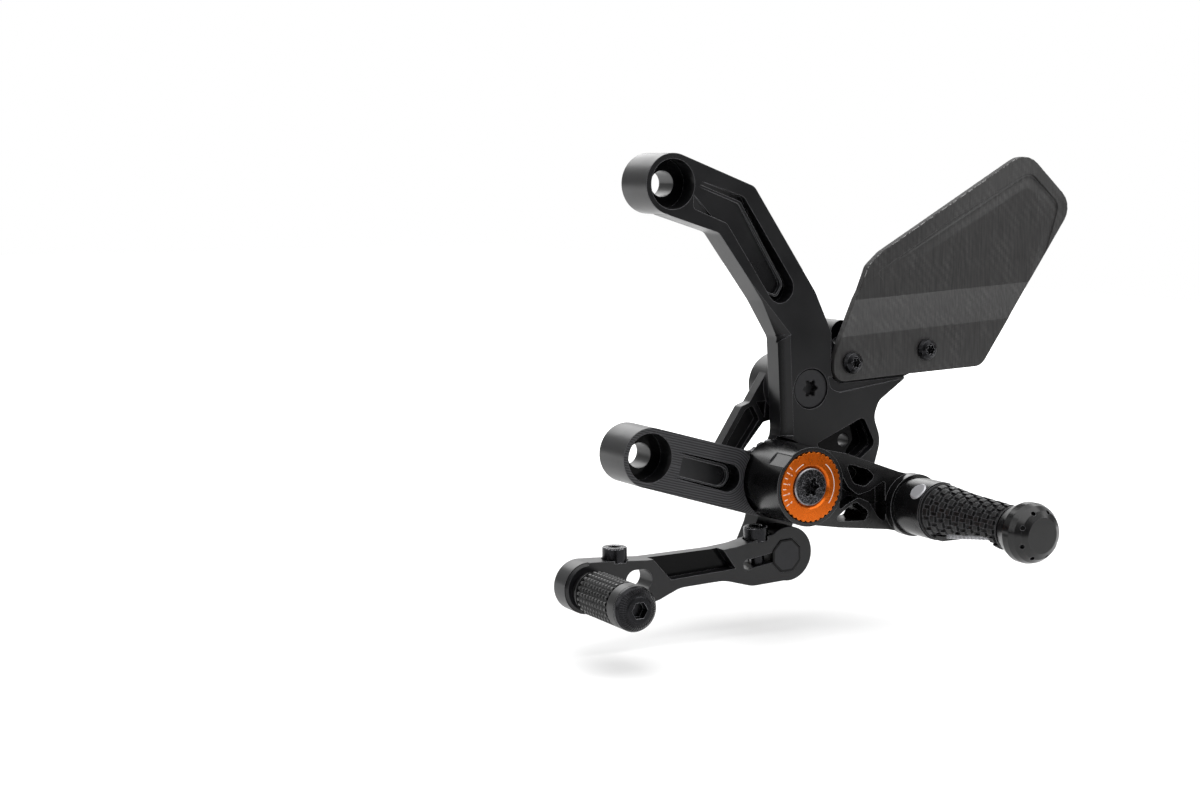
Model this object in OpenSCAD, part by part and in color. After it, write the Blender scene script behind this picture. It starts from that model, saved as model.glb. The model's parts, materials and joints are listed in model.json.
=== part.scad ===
// Rear set for the gear-change side of a motorcycle: base plate, folding
// footpeg on an indexing carrier, gear lever with toe peg, and heel guard.
// X runs to the rear of the machine, Y runs inboard, Z runs up. Millimetres.
// The origin is the lower frame bolt's axis where its boss meets the frame.

/* [Base plate] */
// How far the upper frame bolt sits behind the lower one
upper_x = 10.1; // [9.5:0.1:10.7]
// Height of the upper frame bolt over the lower one
upper_z = 108.6; // [108:0.1:109.2]
// Depth of the two frame bosses, from frame to outer face
boss_depth = 20; // [19.5:0.5:21]
// Outer radius of the two frame bosses
boss_r = 12.2; // [12:0.1:12.6]
// Radius of the clearance bore for an M10 frame bolt
frame_bore_r = 5.25; // [5.15:0.05:5.5]
// Radius of the counterbore for the frame bolt's head
counter_r = 10; // [9.6:0.1:10.2]
// Depth of that counterbore
counter_depth = 8.8; // [8:0.1:10]
// Thickness of the plate
plate_t = 12; // [11.6:0.1:12.2]
// Depth of the round recess behind the footpeg carrier
recess_depth = 6; // [5.6:0.1:6.4]
// Deepest point of the two ramped pockets
pocket_depth = 5; // [4:0.1:5.6]

/* [Hub and carrier] */
// Place of the hub's axis behind the lower frame bolt
hub_x = 61.6; // [61.2:0.1:62]
// Height of the hub's axis
hub_z = -13.2; // [-13.5:0.1:-12.9]
// How far the carrier's boss stands out of the plate's face
boss_stand = 23; // [22.6:0.1:24]
// Outer radius of the carrier's boss
carrier_r = 16.2; // [16:0.1:16.5]
// Outer radius of the fixed sleeve that the carrier turns on
sleeve_r = 9; // [8.8:0.1:9.2]
// Radius of the hub bolt's shank, an M12
hub_bolt_r = 6; // [5.8:0.1:6]
// Radius of the adjuster ring
ring_r = 14.3; // [14:0.1:14.5]
// Thickness of the adjuster ring
ring_t = 2.9; // [2.7:0.1:3.1]
// Number of notches round the rim of the adjuster ring
notch_count = 36; // [32:2:40]
// Distance from the hub's axis back to the footpeg's axis
peg_back = 51.1; // [50.6:0.1:51.6]
// Drop from the hub's axis to the footpeg's axis
peg_drop = 11.3; // [11:0.1:11.6]

/* [Footpeg] */
// Length from the carrier's flange to the end of the peg
peg_len = 78; // [77:0.5:80]
// Radius of the carrier's round flange
flange_r = 13; // [12.8:0.1:13.4]
// Radius of the peg's knuckle
knuckle_r = 12; // [11.8:0.1:12.2]
// Radius of the fold pin
pin_r = 3.8; // [3.6:0.1:4]
// Distance from the flange to the fold pin
pin_out = 12; // [12:0.1:12.4]
// Tilt of the fold pin from upright
pin_tilt = 45; // [43:1:47]
// Thickness of the tongue between the knuckle's cheeks
tongue_t = 8; // [7.6:0.1:8.4]
// Radius of the grip next to the knuckle
grip_r_in = 11.6; // [11.5:0.1:11.7]
// Radius of the grip at its outer end
grip_r_out = 8.9; // [8.8:0.1:9.1]
// Number of gripping rings along the peg
grip_rings = 10; // [9:1:11]
// Radius of the end cap
cap_r = 11.9; // [11.6:0.1:12.1]

/* [Gear lever] */
// Place of the lever shaft's axis behind the lower frame bolt
shaft_x = 64.5; // [64.2:0.1:64.8]
// Height of the lever shaft's axis
shaft_z = -45.2; // [-45.5:0.1:-45]
// Radius of the shaft's journal
journal_r = 6; // [5.8:0.1:6.2]
// Corner radius of the shaft's octagonal end
octagon_r = 7.4; // [7.2:0.1:7.6]
// Thickness of the lever
lever_t = 10; // [9.8:0.1:10]
// Distance from the lever shaft forward to the toe peg
toe_reach = 93.4; // [92:0.2:95]
// Drop from the lever shaft to the toe peg
toe_drop = 5.2; // [4.8:0.1:5.6]
// Radius of the toe peg's sleeve
toe_r = 8.9; // [8.7:0.1:9.1]
// Length of the toe peg's sleeve
toe_len = 35; // [34:0.5:37]
// Radius of the toe peg's spindle
spindle_r = 5; // [4.8:0.1:5.1]

/* [Heel guard] */
// Thickness of the moulded heel guard
guard_t = 3; // [2.8:0.1:3.2]
// How far the guard's upper part steps inboard
guard_step = 2.8; // [2.4:0.1:3]

/* [Fits] */
// Radial clearance of a shaft that turns in a bore
run_gap = 0.05; // [0.03:0.01:0.08]
// Gap between faces of pieces that move past each other
side_gap = 0.3; // [0.3:0.05:0.4]
// Radial clearance of a screw or a seated piece
seat_gap = 0.03; // [0.02:0.01:0.05]

/* [Hidden] */
$fn = 48;
y_front = -boss_depth;
y_back = y_front + plate_t;
y_recess = y_front + recess_depth;
y_boss = y_front - boss_stand;
y_arm = y_boss + 1;
y_flange = y_boss - 3;
y_pin = y_flange - pin_out;
y_tip = y_flange - peg_len;
y_shoulder = y_pin - 4.5;
y_grip_end = y_tip + 17;
peg_x = hub_x + peg_back;
peg_z = hub_z - peg_drop;
clip_seat = knuckle_r - 1.8;
index_t = 2;
y_index = y_recess - index_t;
ring_gap = 0.4;
y_ring = y_boss - ring_gap;
y_ring_seat = y_ring + ring_t;
bolt_x = 77.2;
bolt_z = 23.6;
y_bracket = y_back + 9;
y_pivot_boss = y_back + 15.5;
foot_x = 38;
foot_z = -10;
y_lever = y_front - 2;
y_lever_back = y_lever + lever_t;
toe_x = shaft_x - toe_reach;
toe_z = shaft_z - toe_drop;
y_toe_end = y_lever - side_gap - toe_len;
guard_seat = 2;
y_guard_back = y_front + guard_seat;
y_guard = y_guard_back - guard_t;
screw_1 = [97.2, 33.7];
screw_2 = [136.2, 37.5];
crank_x = 72;
crank_z = -14.5;
y_crank = y_bracket + 1.5;
crank_t = 4;
y_ball = y_crank + crank_t + 5.6;
ball_r = 5.2;

// Colours of the finishes
black_anodised = [0.09, 0.09, 0.1];
orange_anodised = [0.95, 0.5, 0.08];
dark_steel = [0.25, 0.25, 0.27];
bright_steel = [0.75, 0.75, 0.76];
carbon = [0.12, 0.12, 0.13];
bronze = [0.7, 0.5, 0.25];

// Rounding of an outline: each corner is [x, z, radius]
function unit(v) = v / norm(v);
function flat(p) = [p[0], p[1]];
function turn(a, b) = let(d = b - a) d > 180 ? d - 360 : d < -180 ? d + 360 : d;
function arc(m, r, a, b, n) = [for (i = [0:n])
    m + r * [cos(a + turn(a, b) * i / n), sin(a + turn(a, b) * i / n)]];
function corner(p, q, s, r, n) =
    let(u = unit(p - q), v = unit(s - q), half = acos(u * v) / 2,
        m = q + unit(u + v) * r / sin(half),
        a = q + u * r / tan(half) - m,
        b = q + v * r / tan(half) - m)
    arc(m, r, atan2(a[1], a[0]), atan2(b[1], b[0]), n);
function rounded(pts, n = 5) = let(c = len(pts)) [for (i = [0:c - 1])
    each pts[i][2] > 0
        ? corner(flat(pts[(i + c - 1) % c]), flat(pts[i]), flat(pts[(i + 1) % c]), pts[i][2], n)
        : [flat(pts[i])]];

// A flat shape drawn in X and Z, thickened from y_out to y_in
module slab(y_out, y_in) {
    translate([0, y_in, 0])
    rotate([90, 0, 0])
    linear_extrude(y_in - y_out)
    children();
}

// A round rod along Y
module rod(x, z, r, y_out, y_in) {
    translate([x, y_in, z])
    rotate([90, 0, 0])
    cylinder(r = r, h = y_in - y_out);
}

// A cone along Y
module cone(x, z, r_out, r_in, y_out, y_in) {
    translate([x, y_in, z])
    rotate([90, 0, 0])
    cylinder(r1 = r_in, r2 = r_out, h = y_in - y_out);
}

// Six-lobe drive recess, opening to the outside at y_out
module star_drive(x, z, r, y_out, depth) {
    rod(x, z, r * 0.74, y_out - 1, y_out + depth);
    for (i = [0:5])
        rod(x + r * 0.76 * cos(i * 60), z + r * 0.76 * sin(i * 60), r * 0.24,
            y_out - 1, y_out + depth);
}

// The whole plate, seen from outside, from the upper boss clockwise
plate_outline = [
    [upper_x + 4.1, upper_z + boss_r * 0.942, 0],
    [48.4, 107.4, 5],
    [78.9, 63.7, 20],
    [88.7, 43.6, 2],
    [90.4, 41.2, 0.8],
    [94, 44, 1],
    [142, 46.5, 7],
    [147, 33, 8],
    [126.5, 26, 3],
    [112.3, 16.5, 6],
    [109.6, 10, 8],
    [113.6, 0, 12],
    [108.5, -17, 12],
    [86, -31.5, 12],
    [hub_x + 2, -31, 10],
    [45.3, -26.2, 10],
    [-3.4, -boss_r * 0.955, 0],
    [0, 0, 0],
    [3.2, boss_r * 0.965, 0],
    [47.6, -0.6, 4],
    [56, -2.8, 0],
    [65.3, -2, 9],
    [64.7, 12, 0],
    [62.8, 45, 5],
    [53, 60.8, 6],
    [31.6, 89, 4],
    [upper_x - 1.5, 96.2, 0],
    [upper_x - 8.2, 99.6, 0],
    [upper_x, upper_z, 0]
];

// Ground left between two pockets, cut by a plane that slopes into the plate
module ramp(x, z, heading, run, depth) {
    slope = atan(depth / run);
    translate([x, y_front, z])
    rotate([0, heading, 0])
    rotate([0, 0, slope])
    translate([-10, -20, -20])
    cube([run + 40, 20, 40]);
}

// Pocket with a sloping floor, a low rim round it and a deep groove outside the rim.
// Children: the whole pocket, all inside the groove, and the floor
module ramp_pocket(x, z, heading, run, depth) {
    intersection() {
        slab(y_front - 2, y_front + 9) children(0);
        ramp(x, z, heading, run, 0.9);
    }
    intersection() {
        difference() {
            slab(y_front - 2, y_front + depth + 2) children(0);
            slab(y_front - 3, y_front + depth + 3) children(1);
        }
        ramp(x, z, heading, run * 0.7, depth + 1);
    }
    intersection() {
        slab(y_front - 2, y_front + 9) children(0);
        slab(y_front - 3, y_front + 10) children(2);
        ramp(x, z, heading, run, 2.6);
    }
}

// What stands inside the groove of the upper pocket, made smaller by gap
module upper_island(gap) {
    polygon(rounded([
        [12, 112 - gap, 0],
        [41.8 - gap, 101.4 - gap, 2],
        [63.4 - gap * 1.2, 67.6, 3.2],
        [60.2 - gap * 0.5, 62 + gap, 2],
        [50, 66 + gap, 0],
        [28, 96, 0]
    ]));
}

module upper_pocket() {
    ramp_pocket(20, 106, 45, 56, pocket_depth) {
        polygon(rounded([
            [20, 110.6, 2],
            [43.4, 103.2, 3],
            [69.6, 65.5, 6],
            [60.8, 56.2, 6],
            [35.3, 92.8, 3],
            [19.4, 98.9, 2]
        ]));
        upper_island(0);
        upper_island(0.9);
    }
}

module lower_island(gap) {
    polygon(rounded([
        [2, 4.3 - gap, 0],
        [38.4 - gap, -6.1 - gap, 4.6 - gap],
        [36.2 - gap, -15.6 + gap, 4.6 - gap],
        [2, -5.8 + gap, 0]
    ]));
}

module lower_pocket() {
    ramp_pocket(12, -5, 15, 27, pocket_depth) {
        polygon(rounded([
            [12.4, 1.9, 1],
            [43.8, -6.7, 5.6],
            [40.7, -18.1, 5.6],
            [11.5, -8.9, 1]
        ]));
        lower_island(0);
        lower_island(0.9);
    }
}

// Long chamfer on the front left edge of the upright arm, in two runs:
// [x, z, length below, length above, lean to the front, width]
module arm_chamfer() {
    for (run = [[62.9, 45.2, 41, 1.2, 3.3, 4.3],
                [63.4, 45, 1.2, 30, 42, 4.3]])
        translate([run[0], y_front, run[1]])
        rotate([0, -run[4], 0])
        translate([0, 0, -run[2]])
        linear_extrude(run[2] + run[3])
            polygon([
                [-6, -1],
                [run[5], -1],
                [run[5] - 0.6, 0],
                [-1, run[5] + 0.4],
                [-6, run[5] + 4]
            ]);
    // and on round the inner corner, where it runs out on the lower arm
    cone(55.9, 6.2, 13.9, 9, y_front - 1, y_front + 3.9);
}

// Rebate for the heel guard, and the shallow step below it
module guard_rebate() {
    slab(y_front - 1, y_guard_back)
        polygon(rounded([
            [87.2, 60, 0],
            [87.2, 24.9, 6.2],
            [126.5, 26, 0],
            [126.5, 15, 0],
            [160, 15, 0],
            [160, 60, 0]
        ]));
    slab(y_front - 1, y_front + 0.9)
        polygon(rounded([
            [86, 28, 0],
            [87, 23, 4],
            [92, 21.2, 3],
            [126, 25.6, 0],
            [127.5, 27, 0]
        ]));
}

// Three-sided lightening pocket with a deeper slot along its rear wall
module rear_pocket() {
    slab(y_front - 1, y_front + 3.5)
        polygon(rounded([
            [80.4, 0.3, 0.8],
            [104.4, 10.3, 2.4],
            [110.8, -2, 3],
            [101, -9, 3],
            [88, -10, 3]
        ]));
    slab(y_front - 1, y_front + 9)
        polygon(rounded([
            [99.6, 7.8, 0.8],
            [104.2, 9.7, 2],
            [110, -2, 2.6],
            [102, -7.6, 2],
            [97.6, -4.8, 0.8],
            [101.4, 0.3, 2]
        ]));
    rod(96.4, 0.4, 2.8, y_front, y_back + 1);
}

module base_plate() {
    color(black_anodised)
    difference() {
        union() {
            slab(y_front, y_back) polygon(rounded(plate_outline));
            rod(0, 0, boss_r, y_front, 0);
            rod(upper_x, upper_z, boss_r, y_front, 0);
            rod(97, 45.5, 5.5, y_guard_back + 4.5, y_back + 6);
        }
        for (p = [[0, 0], [upper_x, upper_z]]) {
            rod(p[0], p[1], counter_r, y_front - 1, y_front + counter_depth);
            rod(p[0], p[1], frame_bore_r, y_front, 1);
        }
        upper_pocket();
        lower_pocket();
        arm_chamfer();
        rod(hub_x, hub_z, carrier_r + 1.1, y_front - 1, y_recess);
        rod(hub_x, hub_z, hub_bolt_r + seat_gap, y_recess - 1, y_back + 1);
        rod(bolt_x, bolt_z, 8.55, y_front - 1, y_front + 1);
        cone(bolt_x, bolt_z, 8.55, 5.05, y_front + 1, y_front + 4.5);
        rod(bolt_x, bolt_z, 5.05, y_front, y_back + 1);
        guard_rebate();
        rear_pocket();
        for (p = [screw_1, screw_2])
            rod(p[0], p[1], 3 + seat_gap, y_guard_back - 1, y_back + 1);
        rod(foot_x, foot_z, 2.5 + seat_gap, y_back - 5, y_back + 1);
    }
}

module rear_bracket() {
    color(black_anodised)
    difference() {
        union() {
            slab(y_back + 4, y_bracket)
                polygon(rounded([
                    [66, 30, 0],
                    [59.7, 21, 2],
                    [57.3, 17.3, 2],
                    [53.3, 15.9, 2],
                    [42.6, -0.4, 5],
                    [33, -4, 3],
                    [33, -16, 4],
                    [42, -17.5, 3],
                    [58, -23, 3],
                    [60.4, -29, 1.5],
                    [shaft_x - 9.9, shaft_z + 4, 0],
                    [shaft_x + 10.4, shaft_z + 1, 0],
                    [80, -24, 10],
                    [92, 4, 10],
                    [bolt_x + 13, bolt_z - 2, 0]
                ]));
            slab(y_back, y_bracket)
                polygon(rounded([
                    [60, -26, 0],
                    [60.4, -29, 1.5],
                    [shaft_x - 9.9, shaft_z + 4, 0],
                    [shaft_x + 10.4, shaft_z + 1, 0],
                    [80, -24, 4]
                ]));
            rod(shaft_x, shaft_z, 10.5, y_back, y_bracket);
            rod(foot_x, foot_z, 7, y_back, y_bracket);
            rod(bolt_x, bolt_z, 13, y_back, y_pivot_boss);
        }
        rod(hub_x, hub_z, 12.4, y_back - 1, y_bracket + 1);
        slab(y_back - 1, y_bracket + 1)
            polygon(rounded([
                [64.2, 8.6, 1.5],
                [54.2, -2.8, 1.5],
                [60, -8, 0],
                [74, -8, 2],
                [76, 5, 3],
                [69, 9.6, 2]
            ]));
        // Two pockets in the leg with a thin rib between them
        slab(y_back + 3, y_bracket - 1)
            polygon(rounded([
                [55.3, 14.4, 1.5],
                [58.8, 16, 1],
                [62.2, 10, 1],
                [52.8, -2.4, 1.5],
                [44.6, -1.6, 1.5]
            ]));
        slab(y_back + 3, y_bracket - 1)
            polygon([[60.6, 17.4], [65.4, 17.6], [64.7, 10.6]]);
        rod(bolt_x, bolt_z, 5 + seat_gap, y_back - 1, y_pivot_boss + 1);
        rod(bolt_x, bolt_z, 8, y_pivot_boss - 3, y_pivot_boss + 1);
        rod(shaft_x, shaft_z, 8, y_back - 1, y_bracket + 1);
        rod(foot_x, foot_z, 2.5 + seat_gap, y_back - 1, y_bracket + 1);
    }
}

module bracket_bolt() {
    color(dark_steel)
    difference() {
        union() {
            rod(bolt_x, bolt_z, 8, y_front + 0.5, y_front + 1.5);
            cone(bolt_x, bolt_z, 8, 4.95, y_front + 1.5, y_front + 4.55);
            rod(bolt_x, bolt_z, 5, y_front + 4.55, y_pivot_boss - 4);
        }
        star_drive(bolt_x, bolt_z, 3.7, y_front + 0.5, 3);
    }
}

module foot_screw() {
    color(dark_steel)
    difference() {
        union() {
            rod(foot_x, foot_z, 2.5, y_back - 4.5, y_bracket);
            rod(foot_x, foot_z, 4.4, y_bracket, y_bracket + 3);
        }
        rod(foot_x, foot_z, 1.7, y_bracket + 1.2, y_bracket + 4);
    }
}

// Outline of the heel guard, from its lower front corner anticlockwise
guard_outline = [
    [88, 25.6, 5.5],
    [118, 27.1, 0],
    [166.5, 28.9, 7],
    [182, 50.4, 30],
    [195, 65.1, 40],
    [219, 98.2, 9],
    [191.7, 122, 12],
    [113.6, 79.4, 5],
    [107, 73.8, 5],
    [102.6, 63.2, 12],
    [91.6, 44.6, 12],
    [88.1, 35.6, 8]
];

module heel_guard() {
    fold_low = 39.6;
    fold_high = 54.3;
    color(carbon)
    difference() {
        intersection() {
            slab(y_guard - 5, y_guard + 15) polygon(rounded(guard_outline));
            rotate([0, -3, 0])
            translate([60, 0, 0])
            rotate([90, 0, 90])
            linear_extrude(190)
                polygon([
                    [y_guard, -20],
                    [y_guard, fold_low],
                    [y_guard + guard_step, fold_high],
                    [y_guard + guard_step, 140],
                    [y_guard_back + guard_step, 140],
                    [y_guard_back + guard_step, fold_high + 0.3],
                    [y_guard_back, fold_low + 0.3],
                    [y_guard_back, -20]
                ]);
        }
        intersection() {
            slab(y_guard - 5, y_guard + 15)
                polygon(rounded([
                    [112, 71, 1],
                    [152, 93, 30],
                    [194, 113, 6],
                    [211, 98.6, 5],
                    [204, 78, 10],
                    [190, 64, 0],
                    [120, 60, 0]
                ]));
            // the dish is deepest along its upper edge
            translate([118, y_guard + guard_step, 66])
            rotate([-1.8, -8, 0])
            translate([-10, -6, 0])
            cube([120, 6, 70]);
        }
        for (p = [screw_1, screw_2])
            rod(p[0], p[1], 3 + seat_gap, y_guard - 1, y_guard_back + 1);
    }
}

module guard_screws() {
    color(dark_steel)
    for (p = [screw_1, screw_2])
        difference() {
            union() {
                translate([p[0], y_guard, p[1]])
                rotate([90, 0, 0])
                rotate_extrude()
                    polygon([[0, 0], [4.7, 0], [4.7, 0.8], [4, 2.2], [2.7, 3.1], [0, 3.3]]);
                rod(p[0], p[1], 3, y_guard, y_back - 1);
            }
            star_drive(p[0], p[1], 2.3, y_guard - 3.3, 2);
        }
}

// Steel washer with a notched rim, fixed in the plate's recess
module index_ring() {
    color(bright_steel)
    difference() {
        rod(hub_x, hub_z, 16, y_index, y_recess);
        rod(hub_x, hub_z, sleeve_r + seat_gap, y_index - 1, y_recess + 1);
        for (a = [0:15:345])
            rod(hub_x + 16 * cos(a), hub_z + 16 * sin(a), 0.8, y_index - 1, y_recess + 1);
    }
}

module hub_sleeve() {
    color(bright_steel)
    difference() {
        rod(hub_x, hub_z, sleeve_r, y_ring_seat, y_recess);
        rod(hub_x, hub_z, hub_bolt_r + seat_gap, y_ring_seat - 1, y_recess + 1);
    }
}

// Ring with a notched rim and a scale on its forward side
module adjuster_ring() {
    pitch = 360 / notch_count;
    color(orange_anodised)
    difference() {
        rod(hub_x, hub_z, ring_r, y_ring, y_ring_seat);
        cone(hub_x, hub_z, 9, 8, y_ring - 0.01, y_ring + 1);
        rod(hub_x, hub_z, 8, y_ring, y_ring + 1.7);
        rod(hub_x, hub_z, hub_bolt_r + seat_gap, y_ring - 1, y_ring_seat + 1);
        for (i = [0:notch_count - 1])
            if (i * pitch < 130 || i * pitch > 215)
                rod(hub_x + (ring_r + 0.2) * cos(i * pitch), hub_z + (ring_r + 0.2) * sin(i * pitch),
                    0.75, y_ring - 1, y_ring_seat + 1);
        for (i = [0:7])
            translate([hub_x, y_ring, hub_z])
            rotate([0, -(140 + i * 10), 0])
            translate([ring_r - 2.2, -0.2, -0.15])
            cube([1.6, 0.4, 0.3]);
    }
}

module hub_bolt() {
    color(dark_steel)
    difference() {
        union() {
            cone(hub_x, hub_z, 7.3, 7.75, y_ring + 0.1, y_ring + 0.5);
            rod(hub_x, hub_z, 7.75, y_ring + 0.5, y_ring + 1.7);
            rod(hub_x, hub_z, hub_bolt_r, y_ring + 1.7, y_back + 8);
        }
        star_drive(hub_x, hub_z, 4.2, y_ring + 0.1, 4);
    }
}

module hub_nut() {
    color(dark_steel)
    difference() {
        union() {
            rod(hub_x, hub_z, 11.4, y_back, y_back + 1.5);
            translate([hub_x, y_back + 7.5, hub_z])
            rotate([90, 0, 0])
            cylinder(r = 10.3, h = 7, $fn = 6);
        }
        rod(hub_x, hub_z, hub_bolt_r + seat_gap, y_back - 1, y_back + 9);
    }
}

// Frame of the fold joint: its Z is the pin, and the peg folds towards its X
module fold_frame() {
    translate([peg_x, y_pin, peg_z])
    rotate([0, -pin_tilt, 0])
    children();
}

module peg_carrier() {
    color(black_anodised)
    difference() {
        union() {
            rod(hub_x, hub_z, carrier_r, y_boss, y_index - side_gap);
            slab(y_arm, y_arm + 15.5)
                polygon(rounded([
                    [hub_x + 4, hub_z + carrier_r * 0.95, 0],
                    [79.6, -0.9, 14],
                    [106.8, -10.5, 6],
                    [peg_x, peg_z + flange_r - 0.5, 0],
                    [peg_x, peg_z - flange_r + 0.5, 0],
                    [101.6, -34.3, 6],
                    [77, -31.4, 14],
                    [hub_x + 1, hub_z - carrier_r * 0.98, 0]
                ]));
            rod(peg_x, peg_z, flange_r - 1.5, y_boss, y_arm + 15.5);
            rod(peg_x, peg_z, flange_r, y_flange, y_boss + 1.5);
            fold_frame() {
                translate([-6.4, 0, -tongue_t / 2]) cube([12.8, pin_out + 1, tongue_t]);
                translate([0, 0, -tongue_t / 2]) cylinder(r = 6.4, h = tongue_t);
            }
        }
        rod(hub_x, hub_z, ring_r + 0.4, y_boss - 1, y_ring_seat + side_gap);
        rod(hub_x, hub_z, sleeve_r + run_gap, y_boss - 1, y_recess);
        // Upper window, deep but closed at the back
        slab(y_arm - 1, y_arm + 12)
            polygon(rounded([
                [79.2, -4.6, 1.4],
                [90.8, -8.3, 2],
                [94.6, -11.6, 1.6],
                [89.4, -15.4, 2.6],
                [83.6, -13.6, 2.6]
            ]));
        // Lower window, right through
        slab(y_arm - 1, y_arm + 17)
            polygon(rounded([
                [73, -28.6, 1.2],
                [84.6, -21, 2.4],
                [91.8, -26, 2.2],
                [89.8, -29.6, 1.6]
            ]));
        // Waisted recess between boss and flange, so that the webs stand as a cross
        slab(y_arm - 1, y_arm + 7)
            polygon(rounded([
                [77.2, -8.8, 0.8],
                [81, -15, 3],
                [86, -18.6, 3],
                [91.6, -17.4, 2],
                [99.6, -13.4, 1],
                [100.2, -31.8, 1],
                [96.4, -28.8, 2],
                [91.8, -22.2, 3],
                [86.4, -19.6, 3],
                [80, -22.2, 2],
                [76.6, -24.4, 0.8]
            ]));
        // Flat sight mark on the boss
        translate([hub_x, 0, hub_z])
        rotate([0, -135, 0])
        translate([carrier_r - 0.6, y_boss - 1, -3])
        cube([4, 12, 6]);
        fold_frame()
        translate([0, 0, -tongue_t])
        cylinder(r = pin_r + run_gap, h = 2 * tongue_t);
    }
}

module fold_pin() {
    color(bright_steel)
    fold_frame()
    difference() {
        union() {
            translate([0, 0, -clip_seat - 2]) cylinder(r = pin_r, h = clip_seat + knuckle_r + 1.8);
            translate([0, 0, knuckle_r - 0.2]) cylinder(r1 = pin_r, r2 = pin_r - 0.5, h = 0.5);
        }
        translate([0, 0, -clip_seat - 0.1])
        rotate_extrude()
            polygon([[pin_r - 0.5, 0], [pin_r + 1, 0], [pin_r + 1, -1], [pin_r - 0.5, -1]]);
    }
}

module pin_clip() {
    color(dark_steel)
    fold_frame()
    translate([0, 0, -clip_seat - 1])
    difference() {
        cylinder(r = 4.4, h = 0.8);
        translate([0, 0, -1]) cylinder(r = pin_r - 0.45, h = 3);
        translate([-1.6, -8, -1]) cube([3.2, 8, 3]);
    }
}

// Torsion spring round the pin, drawn as a chain of short wire pieces
module fold_spring() {
    coil_r = 5.3;
    wire_r = 0.5;
    turns = 3;
    steps = 12;
    function bead(i) = [coil_r * cos(i * 360 / steps), coil_r * sin(i * 360 / steps),
        -tongue_t / 2 - 1.2 - i * 1.05 / steps];
    color(bright_steel)
    fold_frame()
    for (i = [0:turns * steps - 1])
        hull() {
            translate(bead(i)) sphere(r = wire_r, $fn = 8);
            translate(bead(i + 1)) sphere(r = wire_r, $fn = 8);
        }
}

// Scoop out of the peg's underside: it rises from the knuckle to the neck
module scoop() {
    translate([peg_x - 20, 0, peg_z])
    rotate([90, 0, 90])
    linear_extrude(40)
        polygon([
            [y_shoulder - 2.5, -8.4],
            [y_grip_end - 2 + 10, -3.6],
            [y_grip_end + 1, -9.6],
            [y_grip_end + 1, -20],
            [y_shoulder - 2.5, -20]
        ]);
}

module peg_body() {
    y_knuckle = y_flange - side_gap;
    core_end = y_tip + 5;
    color(black_anodised)
    difference() {
        union() {
            rod(peg_x, peg_z, knuckle_r, y_shoulder, y_knuckle);
            rod(peg_x, peg_z, 9.9, y_shoulder - 5, y_shoulder);
            rod(peg_x, peg_z, 5, core_end, y_shoulder - 5);
            // Lip under the knuckle
            slab(y_shoulder - 7, y_shoulder - 2.5 - side_gap)
                polygon([
                    [peg_x - 5, peg_z - 8.9],
                    [peg_x + 5, peg_z - 8.9],
                    [peg_x + 4.6, peg_z - 10.9],
                    [peg_x - 4.6, peg_z - 10.9]
                ]);
        }
        fold_frame() {
            // Slot for the tongue, open on the side the peg folds to
            translate([-6.9, -6.8, -tongue_t / 2 - side_gap])
            cube([24, pin_out + 9, tongue_t + 2 * side_gap]);
            // Round clearance, so that the knuckle rolls past the flange
            difference() {
                translate([0, 0, -20]) cube([20, 20, 40]);
                translate([0, 0, -21]) cylinder(r = pin_out - side_gap - 0.15, h = 42);
            }
            translate([0, 0, -20]) cylinder(r = pin_r + run_gap, h = 40);
            // Pocket for the spring, and a flat for the pin's clip
            translate([0, 0, -tongue_t / 2 - 5]) cylinder(r = 6.3, h = 5.2);
            translate([0, 0, -clip_seat - 6]) cylinder(r = 5.2, h = 6);
        }
        difference() {
            scoop();
            slab(y_shoulder - 8, y_shoulder + 1)
                translate([peg_x - 6, peg_z - 12])
                square([12, 3.1]);
        }
    }
}

// Radius of the grip at t of its length, a hollow taper in two straight runs
function grip_radius(t) = t < 0.4
    ? grip_r_in + (grip_r_out + 1 - grip_r_in) * t / 0.4
    : grip_r_out + 1 - (t - 0.4) / 0.6;

module peg_grip() {
    long = y_shoulder - y_grip_end;
    pitch = (long - 3) / grip_rings;
    y_bend = y_shoulder - 0.4 * long;
    color(black_anodised)
    difference() {
        union() {
            cone(peg_x, peg_z, grip_radius(0.4), grip_r_in, y_bend, y_shoulder - 0.1);
            cone(peg_x, peg_z, grip_r_out, grip_radius(0.4), y_grip_end, y_bend);
        }
        for (i = [0:grip_rings])
            translate([peg_x, y_shoulder - 1.5 - i * pitch, peg_z])
            rotate([90, 0, 0])
            rotate_extrude()
                polygon([
                    [grip_radius(i / grip_rings) - 1.2, -0.5],
                    [grip_radius(i / grip_rings) + 2, -1.5],
                    [grip_radius(i / grip_rings) + 2, 1.5],
                    [grip_radius(i / grip_rings) - 1.2, 0.5]
                ]);
        for (k = [0:1], a = [-30:24:210])
            translate([peg_x, 0, peg_z])
            rotate([0, -a - k * 12, 0])
            for (i = [k:2:grip_rings - 1])
                translate([grip_radius((i + 0.5) / grip_rings) - 1.2,
                    y_shoulder - 1.5 - (i + 1) * pitch, -0.8])
                cube([4, pitch, 1.6]);
        scoop();
        rod(peg_x, peg_z, 9.9 + seat_gap, y_shoulder - 5, y_shoulder + 1);
        rod(peg_x, peg_z, 5 + seat_gap, y_grip_end - 1, y_shoulder);
    }
}

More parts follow.
